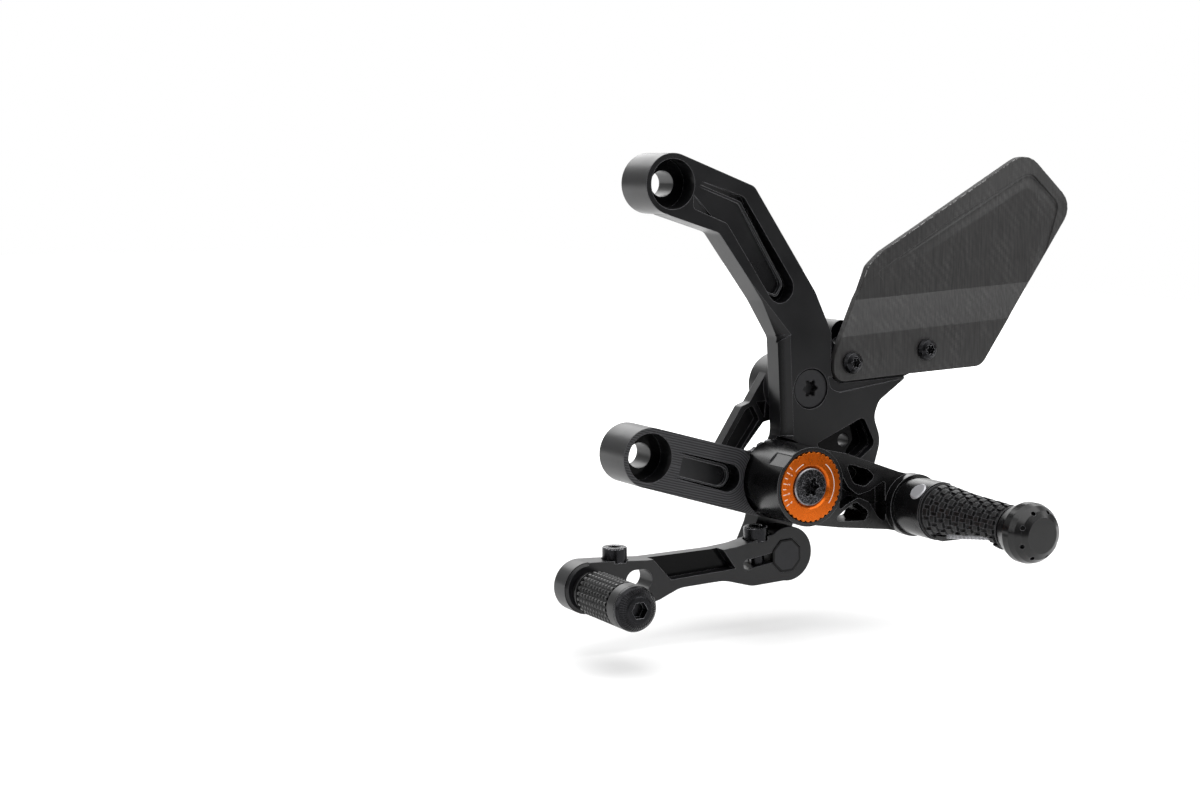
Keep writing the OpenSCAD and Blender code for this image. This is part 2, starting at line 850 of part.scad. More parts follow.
// Ribbed strip on the slope of the scoop
module peg_strip() {
    long = y_shoulder - 2.5 - (y_grip_end + 8);
    slope = atan(4.8 / long);
    color(bright_steel)
    translate([peg_x, y_shoulder - 2.5, peg_z - 8.4])
    rotate([-slope, 0, 0])
    difference() {
        translate([-4.2, -long + 1, -1.9]) cube([8.4, long - 7.6, 1.8]);
        for (i = [1:10])
            translate([-5, -long + 1 + i * (long - 8) / 11 - 0.6, -2.4]) cube([10, 1.2, 1.3]);
    }
}

module peg_cap() {
    color(black_anodised)
    difference() {
        translate([peg_x, y_grip_end - 0.1, peg_z])
        rotate([90, 0, 0])
        rotate_extrude()
            polygon([
                [0, 0],
                [grip_r_out - 0.4, 0],
                [grip_r_out + 0.7, 2],
                [cap_r - 0.8, 5.4],
                [cap_r, 7.4],
                [cap_r, 10.6],
                [cap_r - 0.8, 13.2],
                [cap_r - 2.4, 15.5],
                [cap_r - 4.9, 16.9],
                [0, 16.9]
            ]);
        rod(peg_x, peg_z, 5 + seat_gap, y_tip + 4.6, y_grip_end + 1);
        for (a = [22.5:45:360])
            translate([peg_x, y_tip + 1.5, peg_z])
            rotate([0, -a, 0])
            translate([cap_r - 2.5, 0, 0])
            rotate([90, 0, 40])
            translate([0, 0, -2])
            cylinder(r = 0.95, h = 6, $fn = 16);
    }
}

// Place along the lever as a share of the way from the toe peg to the shaft
function lever_at(share) = toe_x + toe_reach * share;

// Octagon in X and Z, turned as on the real shaft
module octagon(x, z, r, y_out, y_in) {
    translate([x, y_in, z])
    rotate([0, -25, 0])
    rotate([90, 0, 0])
    cylinder(r = r, h = y_in - y_out, $fn = 8);
}

// Pinch bolts: [head seat x, head seat z, tilt to the front]
pinch_rear = [shaft_x - 11.9, shaft_z + 6.8, 4];
pinch_front = [toe_x + 14.3, toe_z + 9.5, 0];

module pinch_frame(place) {
    translate([place[0], (y_lever + y_lever_back) / 2, place[1]])
    rotate([0, -place[2], 0])
    children();
}

module shift_lever() {
    color(black_anodised)
    difference() {
        union() {
            slab(y_lever, y_lever_back)
                polygon(rounded([
                    [toe_x, toe_z + 11.2, 0],
                    [lever_at(0.074), toe_z + 10.9, 6],
                    [lever_at(0.288), toe_z + 9.6, 20],
                    [lever_at(0.641), shaft_z + 5, 20],
                    [lever_at(0.748), shaft_z + 5.9, 20],
                    [lever_at(0.941), shaft_z + 9.6, 8],
                    [shaft_x + 0.7, shaft_z + 11.6, 0],
                    [shaft_x + 1, shaft_z, 0],
                    [shaft_x - 1, shaft_z - 10.6, 0],
                    [lever_at(0.819), shaft_z - 11.3, 10],
                    [lever_at(0.673), shaft_z - 7.6, 20],
                    [lever_at(0.449), toe_z - 3.2, 14],
                    [lever_at(0.337), toe_z - 7.4, 10],
                    [lever_at(0.192), toe_z - 9, 14],
                    [toe_x, toe_z - 9.6, 0]
                ]));
            rod(shaft_x + 1, shaft_z + 0.6, 11.4, y_lever, y_lever_back);
            rod(toe_x, toe_z + 0.8, 10.4, y_lever + 1, y_lever_back);
            cone(toe_x, toe_z + 0.8, 9.2, 10.4, y_lever, y_lever + 1);
        }
        octagon(shaft_x, shaft_z, octagon_r + 0.05, y_lever - 1, y_lever_back + 1);
        rod(toe_x, toe_z, spindle_r + seat_gap, y_lever - 1, y_lever_back + 1);
        // Clamping slots and the holes that end them
        translate([shaft_x - 18.7, y_lever - 1, shaft_z - 4])
        rotate([0, -8, 0])
        cube([13, lever_t + 2, 4]);
        rod(shaft_x - 18.7, shaft_z - 2.2, 2.4, y_lever - 1, y_lever_back + 1);
        translate([toe_x + 3, y_lever - 1, toe_z - 0.6])
        cube([18, lever_t + 2, 2.2]);
        rod(toe_x + 24.3, toe_z + 1.7, 4.5, y_lever - 1, y_lever_back + 1);
        rod(toe_x + 21.3, toe_z + 1.7, 4.5, y_lever - 1, y_lever_back + 1);
        translate([toe_x + 21.3, y_lever - 1, toe_z - 2.8])
        cube([3, lever_t + 2, 9]);
        // Pocket in the outer face, open at the top
        slab(y_lever - 1, y_lever + 5)
            polygon([
                [toe_x + 26.7, toe_z + 12.4],
                [shaft_x - 32.5, shaft_z + 7.2],
                [shaft_x - 24.9, shaft_z - 3.2],
                [toe_x + 37.6, toe_z + 0.5]
            ]);
        for (place = [pinch_rear, pinch_front])
            pinch_frame(place) {
                cylinder(r = 5.6, h = 12);
                translate([0, 0, -16.5]) cylinder(r = 3 + seat_gap, h = 17);
            }
    }
}

module pinch_bolts() {
    color(dark_steel)
    for (place = [pinch_rear, pinch_front])
        pinch_frame(place)
        difference() {
            union() {
                translate([0, 0, -16]) cylinder(r = 3, h = 16);
                cylinder(r = 5, h = 5.6);
                translate([0, 0, 5.6]) cylinder(r1 = 5, r2 = 4.6, h = 0.4);
            }
            translate([0, 0, 2.5]) cylinder(r = 2.9, h = 5, $fn = 6);
        }
}

module shift_shaft() {
    color(dark_steel)
    difference() {
        union() {
            octagon(shaft_x, shaft_z, octagon_r, y_lever - 0.3, y_lever_back);
            rod(shaft_x, shaft_z, 8.2, y_lever_back, y_back - 1.2 - side_gap);
            rod(shaft_x, shaft_z, journal_r, y_back - 1.6, y_bracket + 1.5);
            rod(shaft_x, shaft_z, journal_r - 1.5, y_bracket, y_crank + crank_t - 0.3);
        }
        rod(shaft_x, shaft_z, 2.5 + seat_gap, y_back + 2, y_crank + crank_t + 1);
    }
}

module shaft_bushes() {
    color(bronze)
    for (side = [0:1])
        difference() {
            union() {
                rod(shaft_x, shaft_z, 9.6,
                    side == 0 ? y_back - 1.2 : y_bracket,
                    side == 0 ? y_back : y_bracket + 1.2);
                rod(shaft_x, shaft_z, 8,
                    side == 0 ? y_back : y_bracket - 4.3,
                    side == 0 ? y_back + 4.3 : y_bracket);
            }
            rod(shaft_x, shaft_z, journal_r + run_gap, y_back - 2, y_bracket + 2);
        }
}

module toe_spindle() {
    color(dark_steel)
    difference() {
        union() {
            rod(toe_x, toe_z, 7.4, y_lever_back, y_lever_back + 1.8);
            rod(toe_x, toe_z, spindle_r, y_toe_end - side_gap, y_lever_back + 0.5);
        }
        rod(toe_x, toe_z, 3 + seat_gap, y_toe_end - 1, y_toe_end + 14);
    }
}

// Roller of the toe peg: a neck next to the lever, a knurled middle and a plain end
module toe_sleeve() {
    y_in = y_lever - side_gap;
    y_neck = y_in - 6;
    y_plain = y_toe_end + 6.4;
    rings = 10;
    columns = 24;
    pitch = (y_neck - y_plain) / rings;
    color(black_anodised)
    difference() {
        rod(toe_x, toe_z, toe_r, y_toe_end, y_in);
        translate([toe_x, y_in + 0.01, toe_z])
        rotate([90, 0, 0])
        rotate_extrude()
            polygon([
                [toe_r - 1.5, -1],
                [toe_r + 1, -1],
                [toe_r + 1, 5],
                [toe_r - 0.6, 5],
                [toe_r - 0.6, 3],
                [toe_r - 1.5, 2.2]
            ]);
        rod_ring(y_neck + 0.5, 1);
        rod_ring(y_plain - 0.6, 1.4);
        for (i = [1:rings - 1])
            translate([toe_x, y_neck - i * pitch, toe_z])
            rotate([90, 0, 0])
            rotate_extrude()
                polygon([[toe_r - 0.8, 0], [toe_r + 0.4, -1], [toe_r + 0.4, 1]]);
        for (i = [0:columns - 1])
            translate([toe_x, 0, toe_z])
            rotate([0, i * 360 / columns, 0])
            translate([toe_r - 0.8, y_plain - 0.3, 0])
            rotate([0, 45, 0])
            cube([1.8, y_neck - y_plain + 0.6, 1.8]);
        rod(toe_x, toe_z, 6.5 + seat_gap, y_toe_end - 1, y_in + 1);
    }
}

// Square groove round the toe roller, with its middle at y
module rod_ring(y, width) {
    difference() {
        rod(toe_x, toe_z, toe_r + 1, y - width / 2, y + width / 2);
        rod(toe_x, toe_z, toe_r - 1.3, y - width, y + width);
    }
}

module toe_bushes() {
    y_in = y_lever - side_gap;
    color(bronze)
    for (y = [y_in, y_toe_end + 10])
        difference() {
            rod(toe_x, toe_z, 6.5, y - 10, y);
            rod(toe_x, toe_z, spindle_r + run_gap, y - 11, y + 1);
        }
}

module toe_screw() {
    y_head = y_toe_end - side_gap;
    color(dark_steel)
    difference() {
        union() {
            translate([toe_x, y_head, toe_z])
            rotate([90, 0, 0])
            rotate_extrude()
                polygon([
                    [0, 0],
                    [toe_r, 0],
                    [toe_r, 1.2],
                    [toe_r - 0.6, 2.4],
                    [toe_r - 2, 3.7],
                    [toe_r - 4, 4.5],
                    [0, 4.8]
                ]);
            rod(toe_x, toe_z, 3, y_head, y_head + 13);
        }
        translate([toe_x, y_head - 1.2, toe_z])
        rotate([90, 0, 0])
        cylinder(r = 3.46, h = 5, $fn = 6);
    }
}

module shift_crank() {
    color(black_anodised)
    difference() {
        union() {
            slab(y_crank, y_crank + crank_t)
                polygon([
                    [shaft_x - 4.2, shaft_z + 5],
                    [crank_x - 4.6, crank_z],
                    [crank_x + 5.2, crank_z],
                    [shaft_x + 6.2, shaft_z + 2]
                ]);
            rod(shaft_x, shaft_z, 6.6, y_crank, y_crank + crank_t);
            rod(crank_x, crank_z, 6.2, y_crank, y_crank + crank_t);
        }
        rod(shaft_x, shaft_z, journal_r - 1.5 + seat_gap, y_crank - 1, y_crank + crank_t + 1);
        rod(crank_x, crank_z, 3 + seat_gap, y_crank - 1, y_crank + crank_t + 1);
    }
}

module crank_screw() {
    y_seat = y_crank + crank_t;
    color(dark_steel)
    difference() {
        union() {
            rod(shaft_x, shaft_z, 2.5, y_seat - 9, y_seat);
            rod(shaft_x, shaft_z, 4.8, y_seat, y_seat + 2.2);
        }
        rod(shaft_x, shaft_z, 1.6, y_seat + 0.7, y_seat + 4);
    }
}

module ball_stud() {
    y_seat = y_crank + crank_t;
    color(bright_steel)
    union() {
        rod(crank_x, crank_z, 3, y_crank + 0.5, y_ball);
        rod(crank_x, crank_z, 4.6, y_seat, y_seat + 0.8);
        translate([crank_x, y_ball, crank_z])
        sphere(r = ball_r);
    }
}

module rod_end() {
    color(dark_steel)
    difference() {
        union() {
            rod(crank_x, crank_z, 8.6, y_ball - 3.8, y_ball + 3.8);
            translate([crank_x - 6, y_ball, crank_z])
            rotate([0, -90, 0])
            cylinder(r = 5.2, h = 26);
        }
        translate([crank_x, y_ball, crank_z])
        sphere(r = ball_r + run_gap);
        translate([crank_x - 15, y_ball, crank_z])
        rotate([0, -90, 0])
        cylinder(r = 2.5, h = 18);
    }
}

base_plate();
rear_bracket();
bracket_bolt();
foot_screw();
heel_guard();
guard_screws();
index_ring();
hub_sleeve();
adjuster_ring();
hub_bolt();
hub_nut();
peg_carrier();
fold_pin();
pin_clip();
fold_spring();
peg_body();
peg_grip();
peg_strip();
peg_cap();
shift_lever();
pinch_bolts();
shift_shaft();
shaft_bushes();
toe_spindle();
toe_sleeve();
toe_bushes();
toe_screw();
shift_crank();
crank_screw();
ball_stud();
rod_end();
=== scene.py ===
import bpy
import bmesh
import json
import math
from mathutils import Matrix, Vector


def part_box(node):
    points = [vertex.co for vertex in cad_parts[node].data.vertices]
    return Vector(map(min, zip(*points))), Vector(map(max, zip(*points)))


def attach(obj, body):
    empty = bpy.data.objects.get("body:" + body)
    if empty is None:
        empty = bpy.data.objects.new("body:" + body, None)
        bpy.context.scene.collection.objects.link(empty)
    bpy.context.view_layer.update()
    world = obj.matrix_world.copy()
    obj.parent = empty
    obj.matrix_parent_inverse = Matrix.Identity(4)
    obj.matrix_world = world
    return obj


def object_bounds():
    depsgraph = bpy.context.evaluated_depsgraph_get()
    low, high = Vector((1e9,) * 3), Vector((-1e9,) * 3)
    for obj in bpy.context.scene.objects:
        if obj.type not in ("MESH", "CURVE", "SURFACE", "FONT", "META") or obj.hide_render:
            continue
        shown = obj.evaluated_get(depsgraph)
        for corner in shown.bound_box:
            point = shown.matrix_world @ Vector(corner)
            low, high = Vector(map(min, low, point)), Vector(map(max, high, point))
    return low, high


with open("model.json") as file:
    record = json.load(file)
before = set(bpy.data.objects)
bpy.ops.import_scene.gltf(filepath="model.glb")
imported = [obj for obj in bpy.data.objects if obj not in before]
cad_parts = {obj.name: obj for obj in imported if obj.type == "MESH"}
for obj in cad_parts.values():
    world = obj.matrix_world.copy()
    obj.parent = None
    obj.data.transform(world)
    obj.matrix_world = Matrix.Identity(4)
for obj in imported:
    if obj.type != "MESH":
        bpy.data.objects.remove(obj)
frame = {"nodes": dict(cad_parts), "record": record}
nodes = frame["nodes"]
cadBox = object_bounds()
scene = bpy.context.scene
scene.view_settings.view_transform = "Standard"
print("frame loaded with", len(nodes), "nodes")


def linear(hexColour):
    # sRGB hex to the linear numbers Blender's sockets take, with alpha 1
    channels = [int(hexColour[i:i + 2], 16) / 255 for i in (1, 3, 5)]
    out = [c / 12.92 if c <= 0.04045 else ((c + 0.055) / 1.055) ** 2.4 for c in channels]
    return (*out, 1.0)


def add(tree, kind, settings=None, inputs=None):
    # one node: settings are its own properties, inputs are values or other nodes' sockets
    made = tree.nodes.new("ShaderNode" + kind)
    for key, value in (settings or {}).items():
        setattr(made, key, value)
    for key, value in (inputs or {}).items():
        if isinstance(value, bpy.types.NodeSocket):
            tree.links.new(value, made.inputs[key])
        else:
            made.inputs[key].default_value = value
    return made


def startMaterial(name):
    material = bpy.data.materials.new(name)
    material.use_nodes = True
    tree = material.node_tree
    tree.nodes.clear()
    return material, tree


# the photograph's camera, solved from its edges
camera = {
    "place": (-0.394787, -0.695957, 0.117381),
    "right": (0.876142, -0.482053, 0.0),
    "up": (0.057506, 0.104518, 0.992859),
    "back": (-0.478610, -0.869886, 0.119293),
    "lens": 59.55,            # mm, on a sensor 36 mm wide
    "sensor": 36,
    "clip": (0.01, 50),
}
lensData = bpy.data.cameras.new("studioCamera")
lensData.lens = camera["lens"]
lensData.sensor_width = camera["sensor"]
lensData.clip_start, lensData.clip_end = camera["clip"]
cameraObject = bpy.data.objects.new("studioCamera", lensData)
scene.collection.objects.link(cameraObject)
cameraObject.matrix_world = Matrix((
    *zip(camera["right"], camera["up"], camera["back"], camera["place"]),
    (0, 0, 0, 1)))
scene.camera = cameraObject
print("camera placed")

# white floor and backdrop, and what the dark room gives back from the front
studio = {
    "floorSide": (-1.6, 1.6),
    "floorDepth": (-0.5, 3.5),       # it ends in front, where the room is dark
    "floorCentre": 0.06,             # under the middle of the part
    "floorColour": "#f4f4f4",
    "gap": 0.0172,                   # room below for the toe when the lever goes down
    "nearGlow": 0.14,                # brings the lit floor up to white by the object
    "farGlow": 1.0,
    "glowReach": (0.25, 0.9),        # metres from the middle where one turns into the other
    "behind": (0.479, 0.870, 0.0),   # away from the camera, level
    "floorMirrored": (-0.15, 0.3),   # metres behind the middle where mirrored rays find white
    "skyMirrored": (0.3, 0.75),      # the same for the backdrop, as the cosine from behind
    "rollEnds": (0.75, 0.5),         # sine of the height where the backdrop roll ends
    "room": (0.10, 0.55),            # what the dark room gives from the side and from above
    "roomHeights": (0.1, 0.8),       # sines of the heights where those two hold
}
floorMesh = bpy.data.meshes.new("studioFloor")
left, right = studio["floorSide"]
front, rear = studio["floorDepth"]
floorMesh.from_pydata([(left, front, 0), (right, front, 0), (right, rear, 0), (left, rear, 0)],
                      [], [(0, 1, 2, 3)])
floor = bpy.data.objects.new("studioFloor", floorMesh)
floor.location = (studio["floorCentre"], 0, cadBox[0].z - studio["gap"])
scene.collection.objects.link(floor)


def shownWhite(tree, place, reach):
    # 1 for what the camera sees, and for mirrored rays that go to the backdrop's side
    rays = add(tree, "LightPath")
    mirrored = add(tree, "Math", {"operation": "MAXIMUM"}, {0: rays.outputs["Is Glossy Ray"],
                                                           1: rays.outputs["Is Transmission Ray"]})
    along = add(tree, "VectorMath", {"operation": "DOT_PRODUCT"}, {0: place, 1: studio["behind"]})
    side = add(tree, "MapRange", inputs={"Value": along.outputs["Value"], "From Min": reach[0],
                                         "From Max": reach[1]})
    partly = add(tree, "Math", {"operation": "MULTIPLY"}, {0: mirrored.outputs[0],
                                                          1: side.outputs[0]})
    return add(tree, "Math", {"operation": "MAXIMUM"}, {0: rays.outputs["Is Camera Ray"],
                                                       1: partly.outputs[0]})


floorPaper, tree = startMaterial("whitePaperFloor")
# matt white paper roll: flat, with no gloss, it only takes the soft shadow
where = add(tree, "TexCoord")
paper = add(tree, "BsdfDiffuse", inputs={"Color": linear(studio["floorColour"])})
far = add(tree, "VectorMath", {"operation": "LENGTH"}, {0: where.outputs["Object"]})
strength = add(tree, "MapRange", inputs={"Value": far.outputs["Value"],
                                         "From Min": studio["glowReach"][0],
                                         "From Max": studio["glowReach"][1],
                                         "To Min": studio["nearGlow"],
                                         "To Max": studio["farGlow"]})
glow = add(tree, "Emission", inputs={"Color": (1, 1, 1, 1), "Strength": strength.outputs[0]})
both = add(tree, "AddShader", inputs={0: paper.outputs[0], 1: glow.outputs[0]})
white = shownWhite(tree, where.outputs["Object"], studio["floorMirrored"])
seen = add(tree, "MixShader", inputs={0: white.outputs[0], 1: paper.outputs[0],
                                      2: both.outputs[0]})
add(tree, "OutputMaterial", inputs={"Surface": seen.outputs[0]})
floor.data.materials.append(floorPaper)

world = bpy.data.worlds.new("studioWorld")
scene.world = world
world.use_nodes = True
tree = world.node_tree
tree.nodes.clear()
where = add(tree, "TexCoord")
split = add(tree, "SeparateXYZ", inputs={0: where.outputs["Generated"]})
level = add(tree, "MapRange", inputs={"Value": split.outputs["Z"],
                                      "From Min": studio["roomHeights"][0],
                                      "From Max": studio["roomHeights"][1],
                                      "To Min": studio["room"][0],
                                      "To Max": studio["room"][1]})
room = add(tree, "Background", inputs={"Color": (1, 1, 1, 1), "Strength": level.outputs[0]})
backdrop = add(tree, "Background", inputs={"Color": (1, 1, 1, 1), "Strength": 1.0})
white = shownWhite(tree, where.outputs["Generated"], studio["skyMirrored"])
# the backdrop roll ends some way up, which only mirrored rays can tell
below = add(tree, "MapRange", inputs={"Value": split.outputs["Z"],
                                      "From Min": studio["rollEnds"][0],
                                      "From Max": studio["rollEnds"][1]})
eye = add(tree, "LightPath")
roll = add(tree, "Math", {"operation": "MAXIMUM"}, {0: below.outputs[0],
                                                   1: eye.outputs["Is Camera Ray"]})
shown = add(tree, "Math", {"operation": "MULTIPLY"}, {0: white.outputs[0], 1: roll.outputs[0]})
seen = add(tree, "MixShader", inputs={0: shown.outputs[0], 1: room.outputs[0],
                                      2: backdrop.outputs[0]})
add(tree, "OutputWorld", inputs={"Surface": seen.outputs[0]})

# softboxes: place, what it faces, width, height, watts
lamps = {
    "topSoftbox": ((0.05, -0.20, 0.95), (0.06, -0.03, 0.03), 1.6, 1.1, 11.0),
    "backSoftbox": ((0.45, 1.00, 0.80), (0.06, 0.0, 0.03), 1.5, 0.8, 9.0),
    "leftSoftbox": ((-1.10, 0.05, 0.55), (0.06, -0.03, 0.03), 0.2, 0.9, 2.4),
    "rightSoftbox": ((1.00, -0.60, 0.60), (0.10, -0.03, 0.05), 0.2, 0.8, 1.5),
    "frontStrip": ((0.66, -1.02, 0.50), (0.12, -0.03, 0.08), 0.9, 0.22, 2.4),
}
for name, (place, target, width, height, watts) in lamps.items():
    light = bpy.data.lights.new(name, "AREA")
    light.shape = "RECTANGLE"
    light.size = width
    light.size_y = height
    light.energy = watts
    lamp = bpy.data.objects.new(name, light)
    lamp.location = place
    lamp.rotation_mode = "QUATERNION"
    lamp.rotation_quaternion = (Vector(target) - Vector(place)).to_track_quat("-Z", "Y")
    scene.collection.objects.link(lamp)
print("studio ready")

noiseLevels = (0.3, 0.7)      # most of Blender's noise lies between these
edgeSamples = 6               # rays that each rounded edge is found with

satin = {
    "colour": "#111113",
    # edges are painted this paler colour, partly as wear and partly as painted highlight
    "wearAndPaintedLight": "#8c8c90",
    "roughness": 0.32,
    "uneven": (-0.04, 0.05),  # how far the roughness strays from that
    "blotchScale": 60,        # blotches of about 17 mm
    "specular": 0.4,
    "grain": 0.0015,          # bead blast grain, drawn five times as coarse as the real 0.3 mm
    "grainHeight": 0.0002,
    "grainDepth": 0.08,       # share of that height that shows
    "edge": 0.0004,           # broken edge of a milled part
    "edgeTurn": (0.99, 0.82),  # cosines where an edge starts to show, and shows fully
    "edgeWearAndPaintedLight": 0.6,
    "linePitch": 0.0010,      # cutter lines, drawn twice as coarse as the real 0.5 mm
    "lineDepth": 0.00008,
    "lineStrength": 0.8,
    # the cutter lines, real as bumps, are painted paler than the face, as painted sheen of the cut
    "lineSheenColour": "#3e3e41",
    # the lines run straight from the first point and wrap round the second
    "lineRun": ((0.014, 0, -0.0047), (0.0375, 0, -0.0108)),
    "lineTop": 0.014,         # highest Z of the lower arm's face
    "lineEnd": (0.054, 0.049),  # X where the lines fade out towards the hub
    "lineFace": -0.0198,      # Y just behind the lower arm's outer face
    "lineFacing": 0.9,        # least cosine to outboard of a face that has the lines
    # how far behind the outer face a pocket's floor starts to look smooth and painted darker as
    # painted shade, and is wholly so
    "pockets": {"base_plate": (0.0015, 0.0035), "shift_lever": (0.0006, 0.001)},
    "pocketFacing": 0.7,      # least cosine to outboard of a pocket's floor
    # pocket floors are painted darker, as painted shade in the recesses
    "pocketShadeColour": "#050506",
    "pocketRoughness": 0.16,
    "pocketSpecular": 0.1,
}
# the carrier and the peg's core and cap: not blasted, so they are blacker and glossier
gloss = dict(satin, colour="#09090a", roughness=0.25, specular=0.45, grainDepth=0.01,
             edge=0.0003)
# grips: rougher, with paler corners painted as rubbed wear and as painted highlight
knurled = dict(gloss, roughness=0.42, specular=0.4, wearAndPaintedLight="#7a7a7e", edge=0.00035)
fineKnurl = dict(gloss, roughness=0.34, wearAndPaintedLight="#3a3a3c", edge=0.00025)


def edgeWearAndPaintedLightMask(tree, soft, surface, values):
    # where the rounded normal leaves the flat one there is an edge
    # the mask carries the painted edge colour: wear and painted highlight, with painted shade on
    # phosphated steel
    turned = add(tree, "VectorMath", {"operation": "DOT_PRODUCT"},
                 {0: soft.outputs["Normal"], 1: surface.outputs["Normal"]})
    return add(tree, "MapRange", inputs={"Value": turned.outputs["Value"],
                                         "From Min": values["edgeTurn"][0],
                                         "From Max": values["edgeTurn"][1],
                                         "To Max": values["edgeWearAndPaintedLight"]})


def cutterLines(tree, where, values):
    # height of the cutter lines on the lower arm: they run along it and wrap round its pocket
    start, end = map(Vector, values["lineRun"])
    along = (end - start).normalized()
    flatPlace = add(tree, "VectorMath", {"operation": "MULTIPLY"},
                    {0: where.outputs["Object"], 1: (1, 0, 1)})
    fromStart = add(tree, "VectorMath", {"operation": "SUBTRACT"},
                    {0: flatPlace.outputs[0], 1: start})
    run = add(tree, "VectorMath", {"operation": "DOT_PRODUCT"},
              {0: fromStart.outputs[0], 1: along})
    # held at the pocket's end only, as the lines run straight on towards the frame boss
    held = add(tree, "Clamp", inputs={"Value": run.outputs["Value"], "Min": -1.0,
                                      "Max": (end - start).length})
    foot = add(tree, "VectorMath", {"operation": "SCALE"}, {0: along, "Scale": held.outputs[0]})
    off = add(tree, "VectorMath", {"operation": "SUBTRACT"},
              {0: fromStart.outputs[0], 1: foot.outputs[0]})
    away = add(tree, "VectorMath", {"operation": "LENGTH"}, {0: off.outputs[0]})
    phase = add(tree, "Math", {"operation": "MULTIPLY"},
                {0: away.outputs["Value"], 1: 2 * math.pi / values["linePitch"]})
    wave = add(tree, "Math", {"operation": "SINE"}, {0: phase.outputs[0]})
    return add(tree, "MapRange", inputs={"Value": wave.outputs[0], "From Min": -1.0})


def facingOut(tree, surface, least):
    # 1 on faces whose flat normal points outboard by at least this cosine
    front = add(tree, "SeparateXYZ", inputs={0: surface.outputs["True Normal"]})
    return add(tree, "Math", {"operation": "LESS_THAN"}, {0: front.outputs["Y"], 1: -least})


def lowerArmFace(tree, where, surface, values):
    # 1 on the outer face of the lower arm, 0 elsewhere
    split = add(tree, "SeparateXYZ", inputs={0: where.outputs["Object"]})
    flat = facingOut(tree, surface, values["lineFacing"])
    left = add(tree, "MapRange", inputs={"Value": split.outputs["X"],
                                         "From Min": values["lineEnd"][0],
                                         "From Max": values["lineEnd"][1]})
    low = add(tree, "Math", {"operation": "LESS_THAN"},
              {0: split.outputs["Z"], 1: values["lineTop"]})
    outer = add(tree, "Math", {"operation": "LESS_THAN"},
                {0: split.outputs["Y"], 1: values["lineFace"]})
    mask = flat
    for part in (low, outer, left):
        mask = add(tree, "Math", {"operation": "MULTIPLY"},
                   {0: mask.outputs[0], 1: part.outputs[0]})
    return mask


def pocketFloor(tree, where, surface, values, piece):
    # 1 on the milled floors that lie behind a piece's outer face, 0 elsewhere
    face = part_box(piece)[0][1]
    start, full = values["pockets"][piece]
    split = add(tree, "SeparateXYZ", inputs={0: where.outputs["Object"]})
    faces = facingOut(tree, surface, values["pocketFacing"])
    behind = add(tree, "MapRange", inputs={"Value": split.outputs["Y"], "From Min": face + start,
                                           "From Max": face + full})
    return add(tree, "Math", {"operation": "MULTIPLY"},
               {0: faces.outputs[0], 1: behind.outputs[0]})


def makeAnodised(name, values, lines=False, piece=None):
    # black anodised aluminium milled from the solid: black with a faint blasted grain, and thin
    # paler lines along the broken edges, as wear and painted highlight; a piece is named if it has
    # milled pockets
    material, tree = startMaterial(name)
    where = add(tree, "TexCoord")
    surface = add(tree, "NewGeometry")
    grain = add(tree, "TexNoise", inputs={"Vector": where.outputs["Object"],
                                          "Scale": 1 / values["grain"], "Detail": 3})
    blotch = add(tree, "TexNoise", inputs={"Vector": where.outputs["Object"],
                                           "Scale": values["blotchScale"], "Detail": 4})
    rough = add(tree, "MapRange", inputs={"Value": blotch.outputs["Fac"],
                                          "From Min": noiseLevels[0],
                                          "From Max": noiseLevels[1],
                                          "To Min": values["roughness"] + values["uneven"][0],
                                          "To Max": values["roughness"] + values["uneven"][1]})
    soft = add(tree, "Bevel", {"samples": edgeSamples}, {"Radius": values["edge"]})
    bump = add(tree, "Bump", inputs={"Strength": values["grainDepth"],
                                     "Distance": values["grainHeight"],
                                     "Height": grain.outputs["Fac"],
                                     "Normal": soft.outputs["Normal"]})
    edge = edgeWearAndPaintedLightMask(tree, soft, surface, values)
    # edges painted paler, partly as wear and partly as painted highlight
    colour = add(tree, "Mix", {"data_type": "RGBA"}, {0: edge.outputs[0],
                                                      6: linear(values["colour"]),
                                                      7: linear(values["wearAndPaintedLight"])})
    if lines:
        wave = cutterLines(tree, where, values)
        mask = lowerArmFace(tree, where, surface, values)
        height = add(tree, "Math", {"operation": "MULTIPLY"}, {0: wave.outputs[0],
                                                              1: mask.outputs[0]})
        bump = add(tree, "Bump", inputs={"Strength": values["lineStrength"],
                                         "Distance": values["lineDepth"],
                                         "Height": height.outputs[0],
                                         "Normal": bump.outputs[0]})
        # the cutter lines are painted paler, as painted sheen of the milled face
        colour = add(tree, "Mix", {"data_type": "RGBA"}, {0: height.outputs[0],
                                                          6: colour.outputs[2],
                                                          7: linear(values["lineSheenColour"])})
    shine = values["specular"]
    if piece:
        # the cutter left the pockets smoother than the blasted faces, so they are less rough and
        # shine less; their colour is painted darker, as painted shade in the recesses
        floors = pocketFloor(tree, where, surface, values, piece)
        shine = add(tree, "MapRange", inputs={"Value": floors.outputs[0],
                                              "To Min": values["specular"],
                                              "To Max": values["pocketSpecular"]}).outputs[0]
        rough = add(tree, "Mix", inputs={0: floors.outputs[0], 2: rough.outputs[0],
                                         3: values["pocketRoughness"]})
        colour = add(tree, "Mix", {"data_type": "RGBA"}, {0: floors.outputs[0],
                                                          6: colour.outputs[2],
                                                          7: linear(values["pocketShadeColour"])})
    shader = add(tree, "BsdfPrincipled", inputs={"Base Color": colour.outputs[2],
                                                 "Roughness": rough.outputs[0],
                                                 "Specular IOR Level": shine,
                                                 "Normal": bump.outputs[0]})
    add(tree, "OutputMaterial", inputs={"Surface": shader.outputs[0]})
    return material


